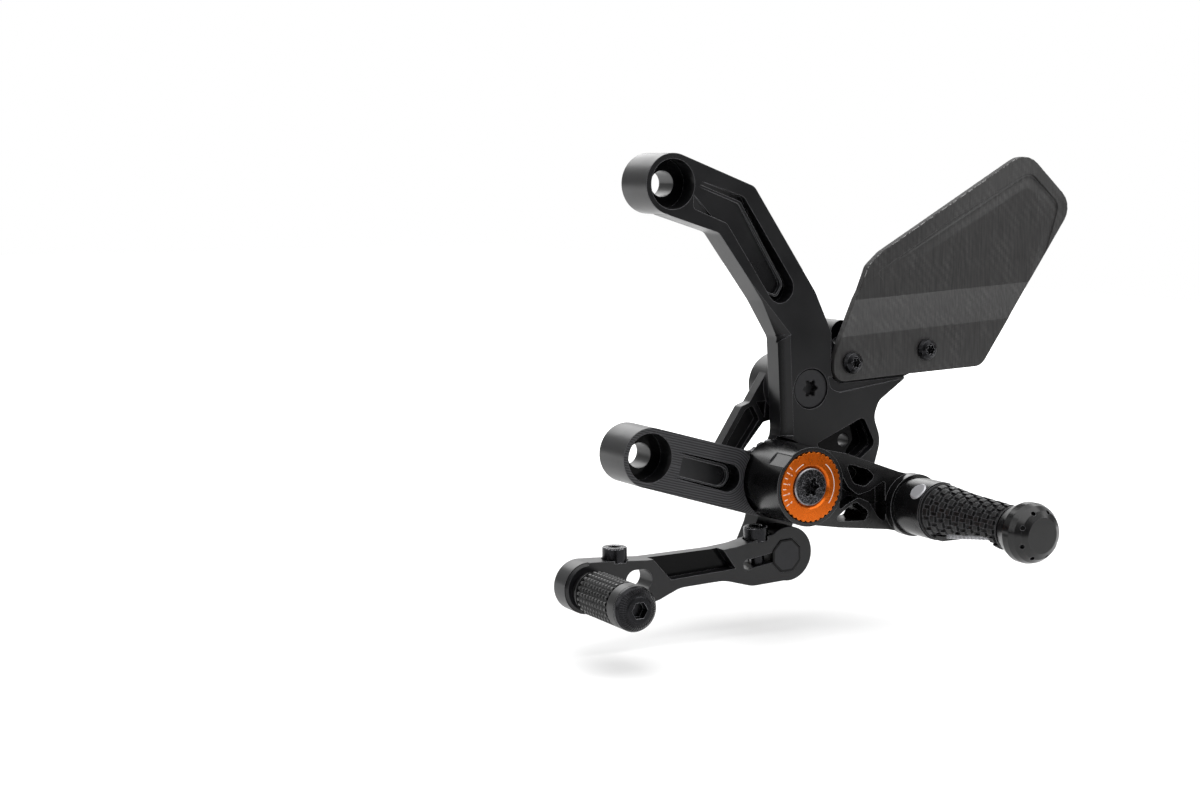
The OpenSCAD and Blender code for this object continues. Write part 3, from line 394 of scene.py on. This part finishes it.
satinBlackAluminium = makeAnodised("satinBlackAnodisedAluminium", satin)
plateBlackAluminium = makeAnodised("plateBlackAnodisedAluminium", satin, True, "base_plate")
leverBlackAluminium = makeAnodised("leverBlackAnodisedAluminium", satin, False, "shift_lever")
glossBlackAluminium = makeAnodised("glossBlackAnodisedAluminium", gloss)
gripBlackAluminium = makeAnodised("gripBlackAnodisedAluminium", knurled)
toeBlackAluminium = makeAnodised("toeBlackAnodisedAluminium", fineKnurl)

hubBoltHead = {
    "rimWidth": 0.0005,
    "rimBlend": 0.00015,
    # the rim band and the sparkling grains are painted paler, as painted highlight and glints
    "rimHighlightColour": "#8e8e92",
    "grainScale": 2600,       # grains of 0.4 mm
    "sparkle": (0.5, 0.72),   # noise levels where a grain starts to shine, and shines fully
}
toeScrewHead = {
    "teeth": 48,
    "toothDepth": 0.00025,
    # where the teeth begin and end, as shares of the head's radius
    "teethInner": (0.62, 0.70),
    "teethOuter": (0.92, 0.86),
}
shaftEnd = {
    "firstFlat": 2.5,         # degrees from X to the first flat's normal
    "toFlat": 0.00684,        # from the shaft's axis to a flat
    "jointWidth": 0.0010,
    "jointBlend": 0.0001,
    # the joint is painted black, as painted shade in the gap round the shaft's end
    "jointShadeColour": "#000000",
}
metalWearAndPaintedLight = {
    "uneven": (-0.05, 0.07),
    "edgeTurn": (0.99, 0.86),
    "edgeWearAndPaintedLight": 0.8,
    "markDepth": 0.0001,
    "markStrength": 0.05,
}
# scratch is the spacing of the fine marks, drawn five times as coarse as the real ones, and
# edge is the width of the corners that are painted paler, as wear and painted highlight
metals = {
    "orangeAnodisedAluminium": {"colour": "#d46108", "wearAndPaintedLight": "#f08a30", "roughness": 0.28,
                                "metallic": 0.75, "scratch": 0.002, "edge": 0.0003},
    "blackOxideSteel": {"colour": "#222224", "wearAndPaintedLight": "#a0a0a4", "roughness": 0.28,
                        "metallic": 0.9, "scratch": 0.0015, "edge": 0.0003},
    # the rims of these heads are painted bright, as painted highlight
    "rimHighlightScrewSteel": {"colour": "#262628", "wearAndPaintedLight": "#d8d8dc", "roughness": 0.24,
                         "metallic": 0.9, "scratch": 0.0015, "edge": 0.0005},
    # the edge is painted black, as painted shade in the joint round the head
    "phosphatedSteel": {"colour": "#2e2e30", "wearAndPaintedLight": "#000000", "roughness": 0.42,
                        "metallic": 0.5, "scratch": 0.002, "edge": 0.0008},
    "brightTurnedSteel": {"colour": "#c4c4c8", "wearAndPaintedLight": "#e6e6e8", "roughness": 0.34,
                          "metallic": 1.0, "scratch": 0.0015, "edge": 0.0003},
    "groundPinSteel": {"colour": "#b4b4b8", "wearAndPaintedLight": "#d0d0d2", "roughness": 0.45,
                       "metallic": 0.6, "scratch": 0.0015, "edge": 0.0003},
    "sinteredBronze": {"colour": "#a97c45", "wearAndPaintedLight": "#c79a61", "roughness": 0.45,
                       "metallic": 1.0, "scratch": 0.0025, "edge": 0.0003},
}


def middle(piece):
    # X and Z of the axis of a round piece that lies along Y, and its radius
    low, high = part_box(piece)
    return (low[0] + high[0]) / 2, (low[2] + high[2]) / 2, (high[0] - low[0]) / 2


def offAxis(tree, where, x, z):
    # how far a point lies from an axis along Y, in X and in Z
    split = add(tree, "SeparateXYZ", inputs={0: where.outputs["Object"]})
    alongX = add(tree, "Math", {"operation": "SUBTRACT"}, {0: split.outputs["X"], 1: x})
    alongZ = add(tree, "Math", {"operation": "SUBTRACT"}, {0: split.outputs["Z"], 1: z})
    return alongX, alongZ


def distance(tree, alongX, alongZ):
    flat = add(tree, "CombineXYZ", inputs={0: alongX.outputs[0], 2: alongZ.outputs[0]})
    return add(tree, "VectorMath", {"operation": "LENGTH"}, {0: flat.outputs[0]})


def rimAndGrainGlints(tree, where, piece):
    # 1 in the band round a bolt's head and on grains of its blasted face, both painted paler as
    # painted highlight and glints
    x, z, radius = middle(piece)
    away = distance(tree, *offAxis(tree, where, x, z))
    band = radius - hubBoltHead["rimWidth"]
    rim = add(tree, "MapRange", inputs={"Value": away.outputs["Value"],
                                        "From Min": band - hubBoltHead["rimBlend"],
                                        "From Max": band})
    grains = add(tree, "TexNoise", inputs={"Vector": where.outputs["Object"],
                                           "Scale": hubBoltHead["grainScale"], "Detail": 2})
    sparkle = add(tree, "MapRange", inputs={"Value": grains.outputs["Fac"],
                                            "From Min": hubBoltHead["sparkle"][0],
                                            "From Max": hubBoltHead["sparkle"][1]})
    return add(tree, "Math", {"operation": "MAXIMUM"}, {0: rim.outputs[0], 1: sparkle.outputs[0]})


def shaftJoint(tree, where, piece):
    # 1 in the joint round the shaft's eight-sided end, painted black as painted shade in the gap:
    # the farthest of its four pairs of flats decides
    x, z = middle(piece)[:2]
    farthest = None
    for i in range(4):
        turn = math.radians(shaftEnd["firstFlat"] + 45 * i)
        normal = (math.cos(turn), 0, math.sin(turn))
        reach = add(tree, "VectorMath", {"operation": "DOT_PRODUCT"},
                    {0: where.outputs["Object"], 1: normal})
        off = add(tree, "Math", {"operation": "SUBTRACT"},
                  {0: reach.outputs["Value"], 1: x * normal[0] + z * normal[2]})
        size = add(tree, "Math", {"operation": "ABSOLUTE"}, {0: off.outputs[0]})
        farthest = size if farthest is None else add(
            tree, "Math", {"operation": "MAXIMUM"}, {0: farthest.outputs[0], 1: size.outputs[0]})
    start = shaftEnd["toFlat"] - shaftEnd["jointWidth"]
    return add(tree, "MapRange", inputs={"Value": farthest.outputs[0], "From Min": start,
                                         "From Max": start + shaftEnd["jointBlend"]})


def serration(tree, where, piece):
    # height of the fine teeth round the shoulder of a dome
    x, z, radius = middle(piece)
    alongX, alongZ = offAxis(tree, where, x, z)
    away = distance(tree, alongX, alongZ)
    turn = add(tree, "Math", {"operation": "ARCTAN2"}, {0: alongZ.outputs[0],
                                                       1: alongX.outputs[0]})
    phase = add(tree, "Math", {"operation": "MULTIPLY"}, {0: turn.outputs[0],
                                                         1: toeScrewHead["teeth"]})
    height = add(tree, "Math", {"operation": "SINE"}, {0: phase.outputs[0]})
    for start, full in (toeScrewHead["teethInner"], toeScrewHead["teethOuter"]):
        fade = add(tree, "MapRange", inputs={"Value": away.outputs["Value"],
                                             "From Min": radius * start,
                                             "From Max": radius * full})
        height = add(tree, "Math", {"operation": "MULTIPLY"}, {0: height.outputs[0],
                                                              1: fade.outputs[0]})
    return height


def makeMetal(name, finish=None, rimOf=None, serratedOf=None, jointOf=None):
    # turned or plated metal: fine marks break up its shine, and its edges are painted in another
    # colour: paler as wear and painted highlight, black as painted shade on phosphated steel
    values = metals[finish or name]
    material, tree = startMaterial(name)
    where = add(tree, "TexCoord")
    surface = add(tree, "NewGeometry")
    marks = add(tree, "TexNoise", inputs={"Vector": where.outputs["Object"],
                                          "Scale": 1 / values["scratch"], "Detail": 5})
    rough = add(tree, "MapRange", inputs={"Value": marks.outputs["Fac"],
                                          "From Min": noiseLevels[0],
                                          "From Max": noiseLevels[1],
                                          "To Min": values["roughness"] + metalWearAndPaintedLight["uneven"][0],
                                          "To Max": values["roughness"] + metalWearAndPaintedLight["uneven"][1]})
    soft = add(tree, "Bevel", {"samples": edgeSamples}, {"Radius": values["edge"]})
    bump = add(tree, "Bump", inputs={"Strength": metalWearAndPaintedLight["markStrength"],
                                     "Distance": metalWearAndPaintedLight["markDepth"],
                                     "Height": marks.outputs["Fac"],
                                     "Normal": soft.outputs["Normal"]})
    edge = edgeWearAndPaintedLightMask(tree, soft, surface, metalWearAndPaintedLight)
    # edges painted paler as wear and painted highlight, and black on phosphated steel as painted
    # shade
    colour = add(tree, "Mix", {"data_type": "RGBA"}, {0: edge.outputs[0],
                                                      6: linear(values["colour"]),
                                                      7: linear(values["wearAndPaintedLight"])})
    if rimOf:
        # painted highlight on the rim and painted glints on the grains
        pale = rimAndGrainGlints(tree, where, rimOf)
        colour = add(tree, "Mix", {"data_type": "RGBA"}, {0: pale.outputs[0],
                                                          6: colour.outputs[2],
                                                          7: linear(hubBoltHead["rimHighlightColour"])})
    # painted shade in the joint round the shaft's end
    if jointOf:
        joint = shaftJoint(tree, where, jointOf)
        colour = add(tree, "Mix", {"data_type": "RGBA"}, {0: joint.outputs[0],
                                                          6: colour.outputs[2],
                                                          7: linear(shaftEnd["jointShadeColour"])})
    if serratedOf:
        teeth = serration(tree, where, serratedOf)
        bump = add(tree, "Bump", inputs={"Strength": 1.0, "Distance": toeScrewHead["toothDepth"],
                                         "Height": teeth.outputs[0],
                                         "Normal": bump.outputs[0]})
    shader = add(tree, "BsdfPrincipled", inputs={"Base Color": colour.outputs[2],
                                                 "Metallic": values["metallic"],
                                                 "Roughness": rough.outputs[0],
                                                 "Normal": bump.outputs[0]})
    add(tree, "OutputMaterial", inputs={"Surface": shader.outputs[0]})
    return material


orangeAnodisedAluminium = makeMetal("orangeAnodisedAluminium")
blackOxideSteel = makeMetal("blackOxideSteel")
rimHighlightScrewSteel = makeMetal("rimHighlightScrewSteel")
phosphatedSteel = makeMetal("phosphatedSteel")
brightTurnedSteel = makeMetal("brightTurnedSteel")
sinteredBronze = makeMetal("sinteredBronze")
groundPinSteel = makeMetal("groundPinSteel")
shaftEndSteel = makeMetal("phosphatedShaftEndSteel", "phosphatedSteel", jointOf="shift_shaft")
hubBoltSteel = makeMetal("grainGlintHubBoltSteel", "blackOxideSteel", rimOf="hub_bolt")
toeScrewSteel = makeMetal("serratedToeScrewSteel", "blackOxideSteel", serratedOf="toe_screw")

carbon = {
    "tow": 0.0011,            # width of one tow of the cloth
    "twillRepeat": 4,         # tows in one repeat of the weave, counted from 0
    "twillOver": 1.5,         # those with a lower count lie on top: two of the four
    "warp": "#2d2c2c",
    "weft": "#222121",
    "patchScale": 90,         # patches of about 11 mm
    "cloth": (0.4, 0.65),     # noise levels where the cloth starts to show, and shows fully
    "strandWidth": 0.0005,
    "strandLength": 0.006,
    "strandScale": 0.6,
    "strandTone": (0.5, 1.5),
    "strandDepth": 0.0002,
    "strandStrength": 0.25,
    "faceOn": 0.7,            # cosine that tells a moulded face from a trimmed edge
    "roughness": 0.46,
    "coat": 0.5,              # satin resin
    "coatRoughness": 0.2,
    "edge": 0.0007,
    "edgeTurn": (0.99, 0.84),
    "edgeWearAndPaintedLight": 1.0,
    "cutRoughness": 0.7,
    # painted glints along the trimmed edge, as painted highlight
    "arrisGlintColour": "#c4c4c4",
    "arrisGlintScale": 700,       # glints of about 1.4 mm, drawn wider than a tow's end
    "arrisGlintLevels": (0.45, 0.6),
    "arrisGlintFrom": -0.0015,    # they stay this far outside the dish
    # upper edge and rear end of the moulded dish, in the guard's X and Z
    "dishCorners": [(0.112, 0.071), (0.1945, 0.1134), (0.2112, 0.0986), (0.2045, 0.078)],
    "dishRound": 0.006,
    "dishFade": (0.118, 0.17),  # X where the dish's edge starts to show, and shows fully
    "dishLeast": 0.1,
    "grooveWidth": 0.0012,
    "grooveDepth": 0.0007,
    "slopeWidth": 0.0048,
    "rimWidth": 0.012,
    "rimLean": 0.0022,        # the rim outside the dish leans back this much over its width
}


def insideDish(tree, where, values):
    # distance inward from the dish's edge, negative outside it
    inside = None
    for (x1, z1), (x2, z2) in zip(values["dishCorners"], values["dishCorners"][1:]):
        length = math.hypot(x2 - x1, z2 - z1)
        inward = ((z2 - z1) / length, 0, (x1 - x2) / length)
        reach = add(tree, "VectorMath", {"operation": "DOT_PRODUCT"},
                    {0: where.outputs["Object"], 1: inward})
        depth = add(tree, "Math", {"operation": "SUBTRACT"},
                    {0: reach.outputs["Value"], 1: x1 * inward[0] + z1 * inward[2]})
        inside = depth if inside is None else add(
            tree, "Math", {"operation": "SMOOTH_MIN"},
            {0: inside.outputs[0], 1: depth.outputs[0], 2: values["dishRound"]})
    return inside


def dishRelief(tree, inside, split, values):
    # height of the leaning rim and of the moulded groove along the dish's edge, which fade out
    # towards the front
    wide, deep = values["grooveWidth"], values["grooveDepth"]
    down = add(tree, "MapRange", {"interpolation_type": "SMOOTHSTEP"},
               {"Value": inside.outputs[0], "From Min": 0.0, "From Max": wide, "To Max": -deep})
    rise = add(tree, "MapRange", {"interpolation_type": "SMOOTHSTEP"},
               {"Value": inside.outputs[0], "From Min": wide,
                "From Max": wide + values["slopeWidth"], "To Max": deep})
    groove = add(tree, "Math", {"operation": "ADD"}, {0: down.outputs[0], 1: rise.outputs[0]})
    lean = add(tree, "MapRange", inputs={"Value": inside.outputs[0],
                                         "From Min": -values["rimWidth"], "From Max": 0.0,
                                         "To Min": -values["rimLean"], "To Max": 0.0})
    level = add(tree, "Math", {"operation": "ADD"}, {0: groove.outputs[0], 1: lean.outputs[0]})
    fade = add(tree, "MapRange", inputs={"Value": split.outputs["X"],
                                         "From Min": values["dishFade"][0],
                                         "From Max": values["dishFade"][1],
                                         "To Min": values["dishLeast"]})
    return add(tree, "Math", {"operation": "MULTIPLY"}, {0: level.outputs[0], 1: fade.outputs[0]})


carbonTwill, tree = startMaterial("carbonFibreTwill")
# two by two twill under satin resin: short upright strands in faint diagonal rows
where = add(tree, "TexCoord")
split = add(tree, "SeparateXYZ", inputs={0: where.outputs["Object"]})
across = add(tree, "Math", {"operation": "DIVIDE"}, {0: split.outputs["X"], 1: carbon["tow"]})
upward = add(tree, "Math", {"operation": "DIVIDE"}, {0: split.outputs["Z"], 1: carbon["tow"]})
column = add(tree, "Math", {"operation": "FLOOR"}, {0: across.outputs[0]})
row = add(tree, "Math", {"operation": "FLOOR"}, {0: upward.outputs[0]})
step = add(tree, "Math", {"operation": "ADD"}, {0: column.outputs[0], 1: row.outputs[0]})
cycle = add(tree, "Math", {"operation": "FLOORED_MODULO"}, {0: step.outputs[0],
                                                            1: carbon["twillRepeat"]})
over = add(tree, "Math", {"operation": "LESS_THAN"}, {0: cycle.outputs[0],
                                                      1: carbon["twillOver"]})
# the cloth is clear in some places and drowned in resin in others
patches = add(tree, "TexNoise", inputs={"Vector": where.outputs["Object"],
                                        "Scale": carbon["patchScale"], "Detail": 2})
clear = add(tree, "MapRange", inputs={"Value": patches.outputs["Fac"],
                                      "From Min": carbon["cloth"][0],
                                      "From Max": carbon["cloth"][1]})
shown = add(tree, "Math", {"operation": "MULTIPLY"}, {0: over.outputs[0], 1: clear.outputs[0]})
colour = add(tree, "Mix", {"data_type": "RGBA"}, {0: shown.outputs[0],
                                                  6: linear(carbon["weft"]),
                                                  7: linear(carbon["warp"])})
# strands of uneven brightness, long and upright
stretch = (1 / carbon["strandWidth"], 1 / carbon["strandWidth"], 1 / carbon["strandLength"])
drawn = add(tree, "VectorMath", {"operation": "MULTIPLY"},
            {0: where.outputs["Object"], 1: stretch})
strands = add(tree, "TexNoise", inputs={"Vector": drawn.outputs[0],
                                        "Scale": carbon["strandScale"], "Detail": 3})
uneven = add(tree, "MapRange", inputs={"Value": strands.outputs["Fac"],
                                       "From Min": noiseLevels[0],
                                       "From Max": noiseLevels[1],
                                       "To Min": carbon["strandTone"][0],
                                       "To Max": carbon["strandTone"][1]})
fibres = add(tree, "Mix", {"data_type": "RGBA", "blend_type": "MULTIPLY"},
             {0: 1.0, 6: colour.outputs[2], 7: uneven.outputs[0]})
soft = add(tree, "Bevel", {"samples": edgeSamples}, {"Radius": carbon["edge"]})
# the trimmed edge has no resin coat and cuts through the tows; the glints of their ends are
# painted highlight, in dots
surface = add(tree, "NewGeometry")
front = add(tree, "SeparateXYZ", inputs={0: surface.outputs["True Normal"]})
faceOn = add(tree, "Math", {"operation": "ABSOLUTE"}, {0: front.outputs["Y"]})
moulding = add(tree, "Math", {"operation": "GREATER_THAN"}, {0: faceOn.outputs[0],
                                                            1: carbon["faceOn"]})
coat = add(tree, "Math", {"operation": "MULTIPLY"}, {0: moulding.outputs[0], 1: carbon["coat"]})
rough = add(tree, "MapRange", inputs={"Value": moulding.outputs[0],
                                      "To Min": carbon["cutRoughness"],
                                      "To Max": carbon["roughness"]})
arris = edgeWearAndPaintedLightMask(tree, soft, surface, carbon)
ends = add(tree, "TexNoise", inputs={"Vector": where.outputs["Object"],
                                     "Scale": carbon["arrisGlintScale"], "Detail": 1})
glint = add(tree, "MapRange", inputs={"Value": ends.outputs["Fac"],
                                      "From Min": carbon["arrisGlintLevels"][0],
                                      "From Max": carbon["arrisGlintLevels"][1]})
arrisGlints = add(tree, "Math", {"operation": "MULTIPLY"}, {0: arris.outputs[0], 1: glint.outputs[0]})
inside = insideDish(tree, where, carbon)
border = add(tree, "Math", {"operation": "LESS_THAN"}, {0: inside.outputs[0],
                                                        1: carbon["arrisGlintFrom"]})
arrisGlints = add(tree, "Math", {"operation": "MULTIPLY"}, {0: arrisGlints.outputs[0],
                                                       1: border.outputs[0]})
fibres = add(tree, "Mix", {"data_type": "RGBA"}, {0: arrisGlints.outputs[0],
                                                  6: fibres.outputs[2],
                                                  7: linear(carbon["arrisGlintColour"])})
moulded = add(tree, "Bump", inputs={"Strength": 1.0, "Distance": 1.0,
                                    "Height": dishRelief(tree, inside, split, carbon).outputs[0],
                                    "Normal": soft.outputs["Normal"]})
woven = add(tree, "Bump", inputs={"Strength": carbon["strandStrength"],
                                  "Distance": carbon["strandDepth"],
                                  "Height": strands.outputs["Fac"],
                                  "Normal": moulded.outputs["Normal"]})
shader = add(tree, "BsdfPrincipled", inputs={"Base Color": fibres.outputs[2],
                                             "Roughness": rough.outputs[0],
                                             "Coat Weight": coat.outputs[0],
                                             "Coat Roughness": carbon["coatRoughness"],
                                             "Normal": woven.outputs[0]})
add(tree, "OutputMaterial", inputs={"Surface": shader.outputs[0]})

finishes = {
    "black_anodised": satinBlackAluminium,
    "orange_anodised": orangeAnodisedAluminium,
    "dark_steel": blackOxideSteel,
    "bright_steel": brightTurnedSteel,
    "carbon": carbonTwill,
    "bronze": sinteredBronze,
}
ownFinish = {
    "base_plate": plateBlackAluminium,
    "shift_lever": leverBlackAluminium,
    "peg_carrier": glossBlackAluminium,
    "peg_body": glossBlackAluminium,
    "peg_grip": gripBlackAluminium,
    "peg_cap": glossBlackAluminium,
    "fold_pin": groundPinSteel,
    "toe_sleeve": toeBlackAluminium,
    "toe_screw": toeScrewSteel,
    "hub_bolt": hubBoltSteel,
    "shift_shaft": shaftEndSteel,
    "bracket_bolt": phosphatedSteel,
    "pinch_bolts": rimHighlightScrewSteel,
}
slotOf = {part["node"]: part["material_slot"] for part in frame["record"]["subparts"]}
for name, item in nodes.items():
    item.data.materials.clear()
    item.data.materials.append(ownFinish.get(name, finishes[slotOf[name]]))
print("materials set")

# white scale on the adjuster ring: ticks in their grooves, plain numbers and two arcs
scale = {
    "tickAngles": [140 + 10 * i for i in range(8)],
    "tickRadii": (0.0121, 0.0137),
    "tickWidth": 0.00028,
    "tickDepth": 0.00015,     # down into its groove
    "arcs": [(0.0113, -40, 52), (0.0103, 112, 138)],   # radius, first and last angle
    "arcWidth": 0.00026,
    "arcSteps": 40,
    "numberRadius": 0.0110,
    "numberSize": 0.0017,
    "proud": 0.00003,         # how far the paint stands out of the ring's face
    "colour": "#f4efe8",
    "wearScale": 1500,        # worn spots of 0.7 mm
    "wearLevels": (0.35, 0.7),
    "wear": (0.82, 1.0),      # share of the colour that is left there, and elsewhere
    "roughness": 0.5,
}
hubX, hubZ = middle("hub_bolt")[:2]
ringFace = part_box("adjuster_ring")[0][1]


def onRing(radius, degrees, depth):
    turn = math.radians(degrees)
    return Vector((hubX + radius * math.cos(turn), ringFace + depth,
                   hubZ + radius * math.sin(turn)))


def addBand(mesh, inner, outer, first, last, steps, deep):
    # a thin curved bar on the ring's face, from one angle to the other
    rows = []
    for i in range(steps + 1):
        angle = first + (last - first) * i / steps
        rows.append([mesh.verts.new(onRing(radius, angle, depth))
                     for radius, depth in ((inner, -scale["proud"]), (outer, -scale["proud"]),
                                           (outer, deep), (inner, deep))])
    for one, two in zip(rows, rows[1:]):
        for k in range(4):
            mesh.faces.new((one[k], one[(k + 1) % 4], two[(k + 1) % 4], two[k]))
    mesh.faces.new(rows[0])
    mesh.faces.new(list(reversed(rows[-1])))


paintMesh = bmesh.new()
inner, outer = scale["tickRadii"]
for angle in scale["tickAngles"]:
    spread = math.degrees(scale["tickWidth"] / 2 / outer)
    addBand(paintMesh, inner, outer, angle - spread, angle + spread, 1, scale["tickDepth"])
for radius, first, last in scale["arcs"]:
    edge = scale["arcWidth"] / 2
    addBand(paintMesh, radius - edge, radius + edge, first, last, scale["arcSteps"], 0.0)
for i, angle in enumerate(scale["tickAngles"][1::2]):
    letters = bpy.data.curves.new("scaleNumber", "FONT")
    letters.body = str(i + 1)
    letters.size = scale["numberSize"]
    letters.extrude = scale["proud"] / 2
    letters.resolution_u = 3
    letters.align_x = "CENTER"
    letters.align_y = "CENTER"
    holder = bpy.data.objects.new("scaleNumber", letters)
    flatNumber = holder.to_mesh()
    spot = onRing(scale["numberRadius"], angle, -scale["proud"] / 2)
    place = Matrix.Translation(spot) @ Matrix.Rotation(math.radians(90), 4, "X") @ \
        Matrix.Rotation(math.radians(angle - 90), 4, "Z")
    flatNumber.transform(place)
    paintMesh.from_mesh(flatNumber)
    holder.to_mesh_clear()
    bpy.data.objects.remove(holder)
bmesh.ops.recalc_face_normals(paintMesh, faces=paintMesh.faces)
scaleMesh = bpy.data.meshes.new("scaleMarks")
paintMesh.to_mesh(scaleMesh)
paintMesh.free()
scaleMarks = bpy.data.objects.new("scaleMarks", scaleMesh)
scene.collection.objects.link(scaleMarks)

markPaint, tree = startMaterial("whiteMarkPaint")
# thin white paint in the engraved scale, slightly worn so that its tone varies
where = add(tree, "TexCoord")
wearAndPaintedLight = add(tree, "TexNoise", inputs={"Vector": where.outputs["Object"],
                                     "Scale": scale["wearScale"], "Detail": 3})
tone = add(tree, "MapRange", inputs={"Value": wearAndPaintedLight.outputs["Fac"],
                                     "From Min": scale["wearLevels"][0],
                                     "From Max": scale["wearLevels"][1],
                                     "To Min": scale["wear"][0],
                                     "To Max": scale["wear"][1]})
colour = add(tree, "Mix", {"data_type": "RGBA", "blend_type": "MULTIPLY"},
             {0: 1.0, 6: linear(scale["colour"]), 7: tone.outputs[0]})
shader = add(tree, "BsdfPrincipled", inputs={"Base Color": colour.outputs[2],
                                             "Roughness": scale["roughness"]})
add(tree, "OutputMaterial", inputs={"Surface": shader.outputs[0]})
scaleMarks.data.materials.append(markPaint)
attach(scaleMarks, "base")
print("scale marks added")
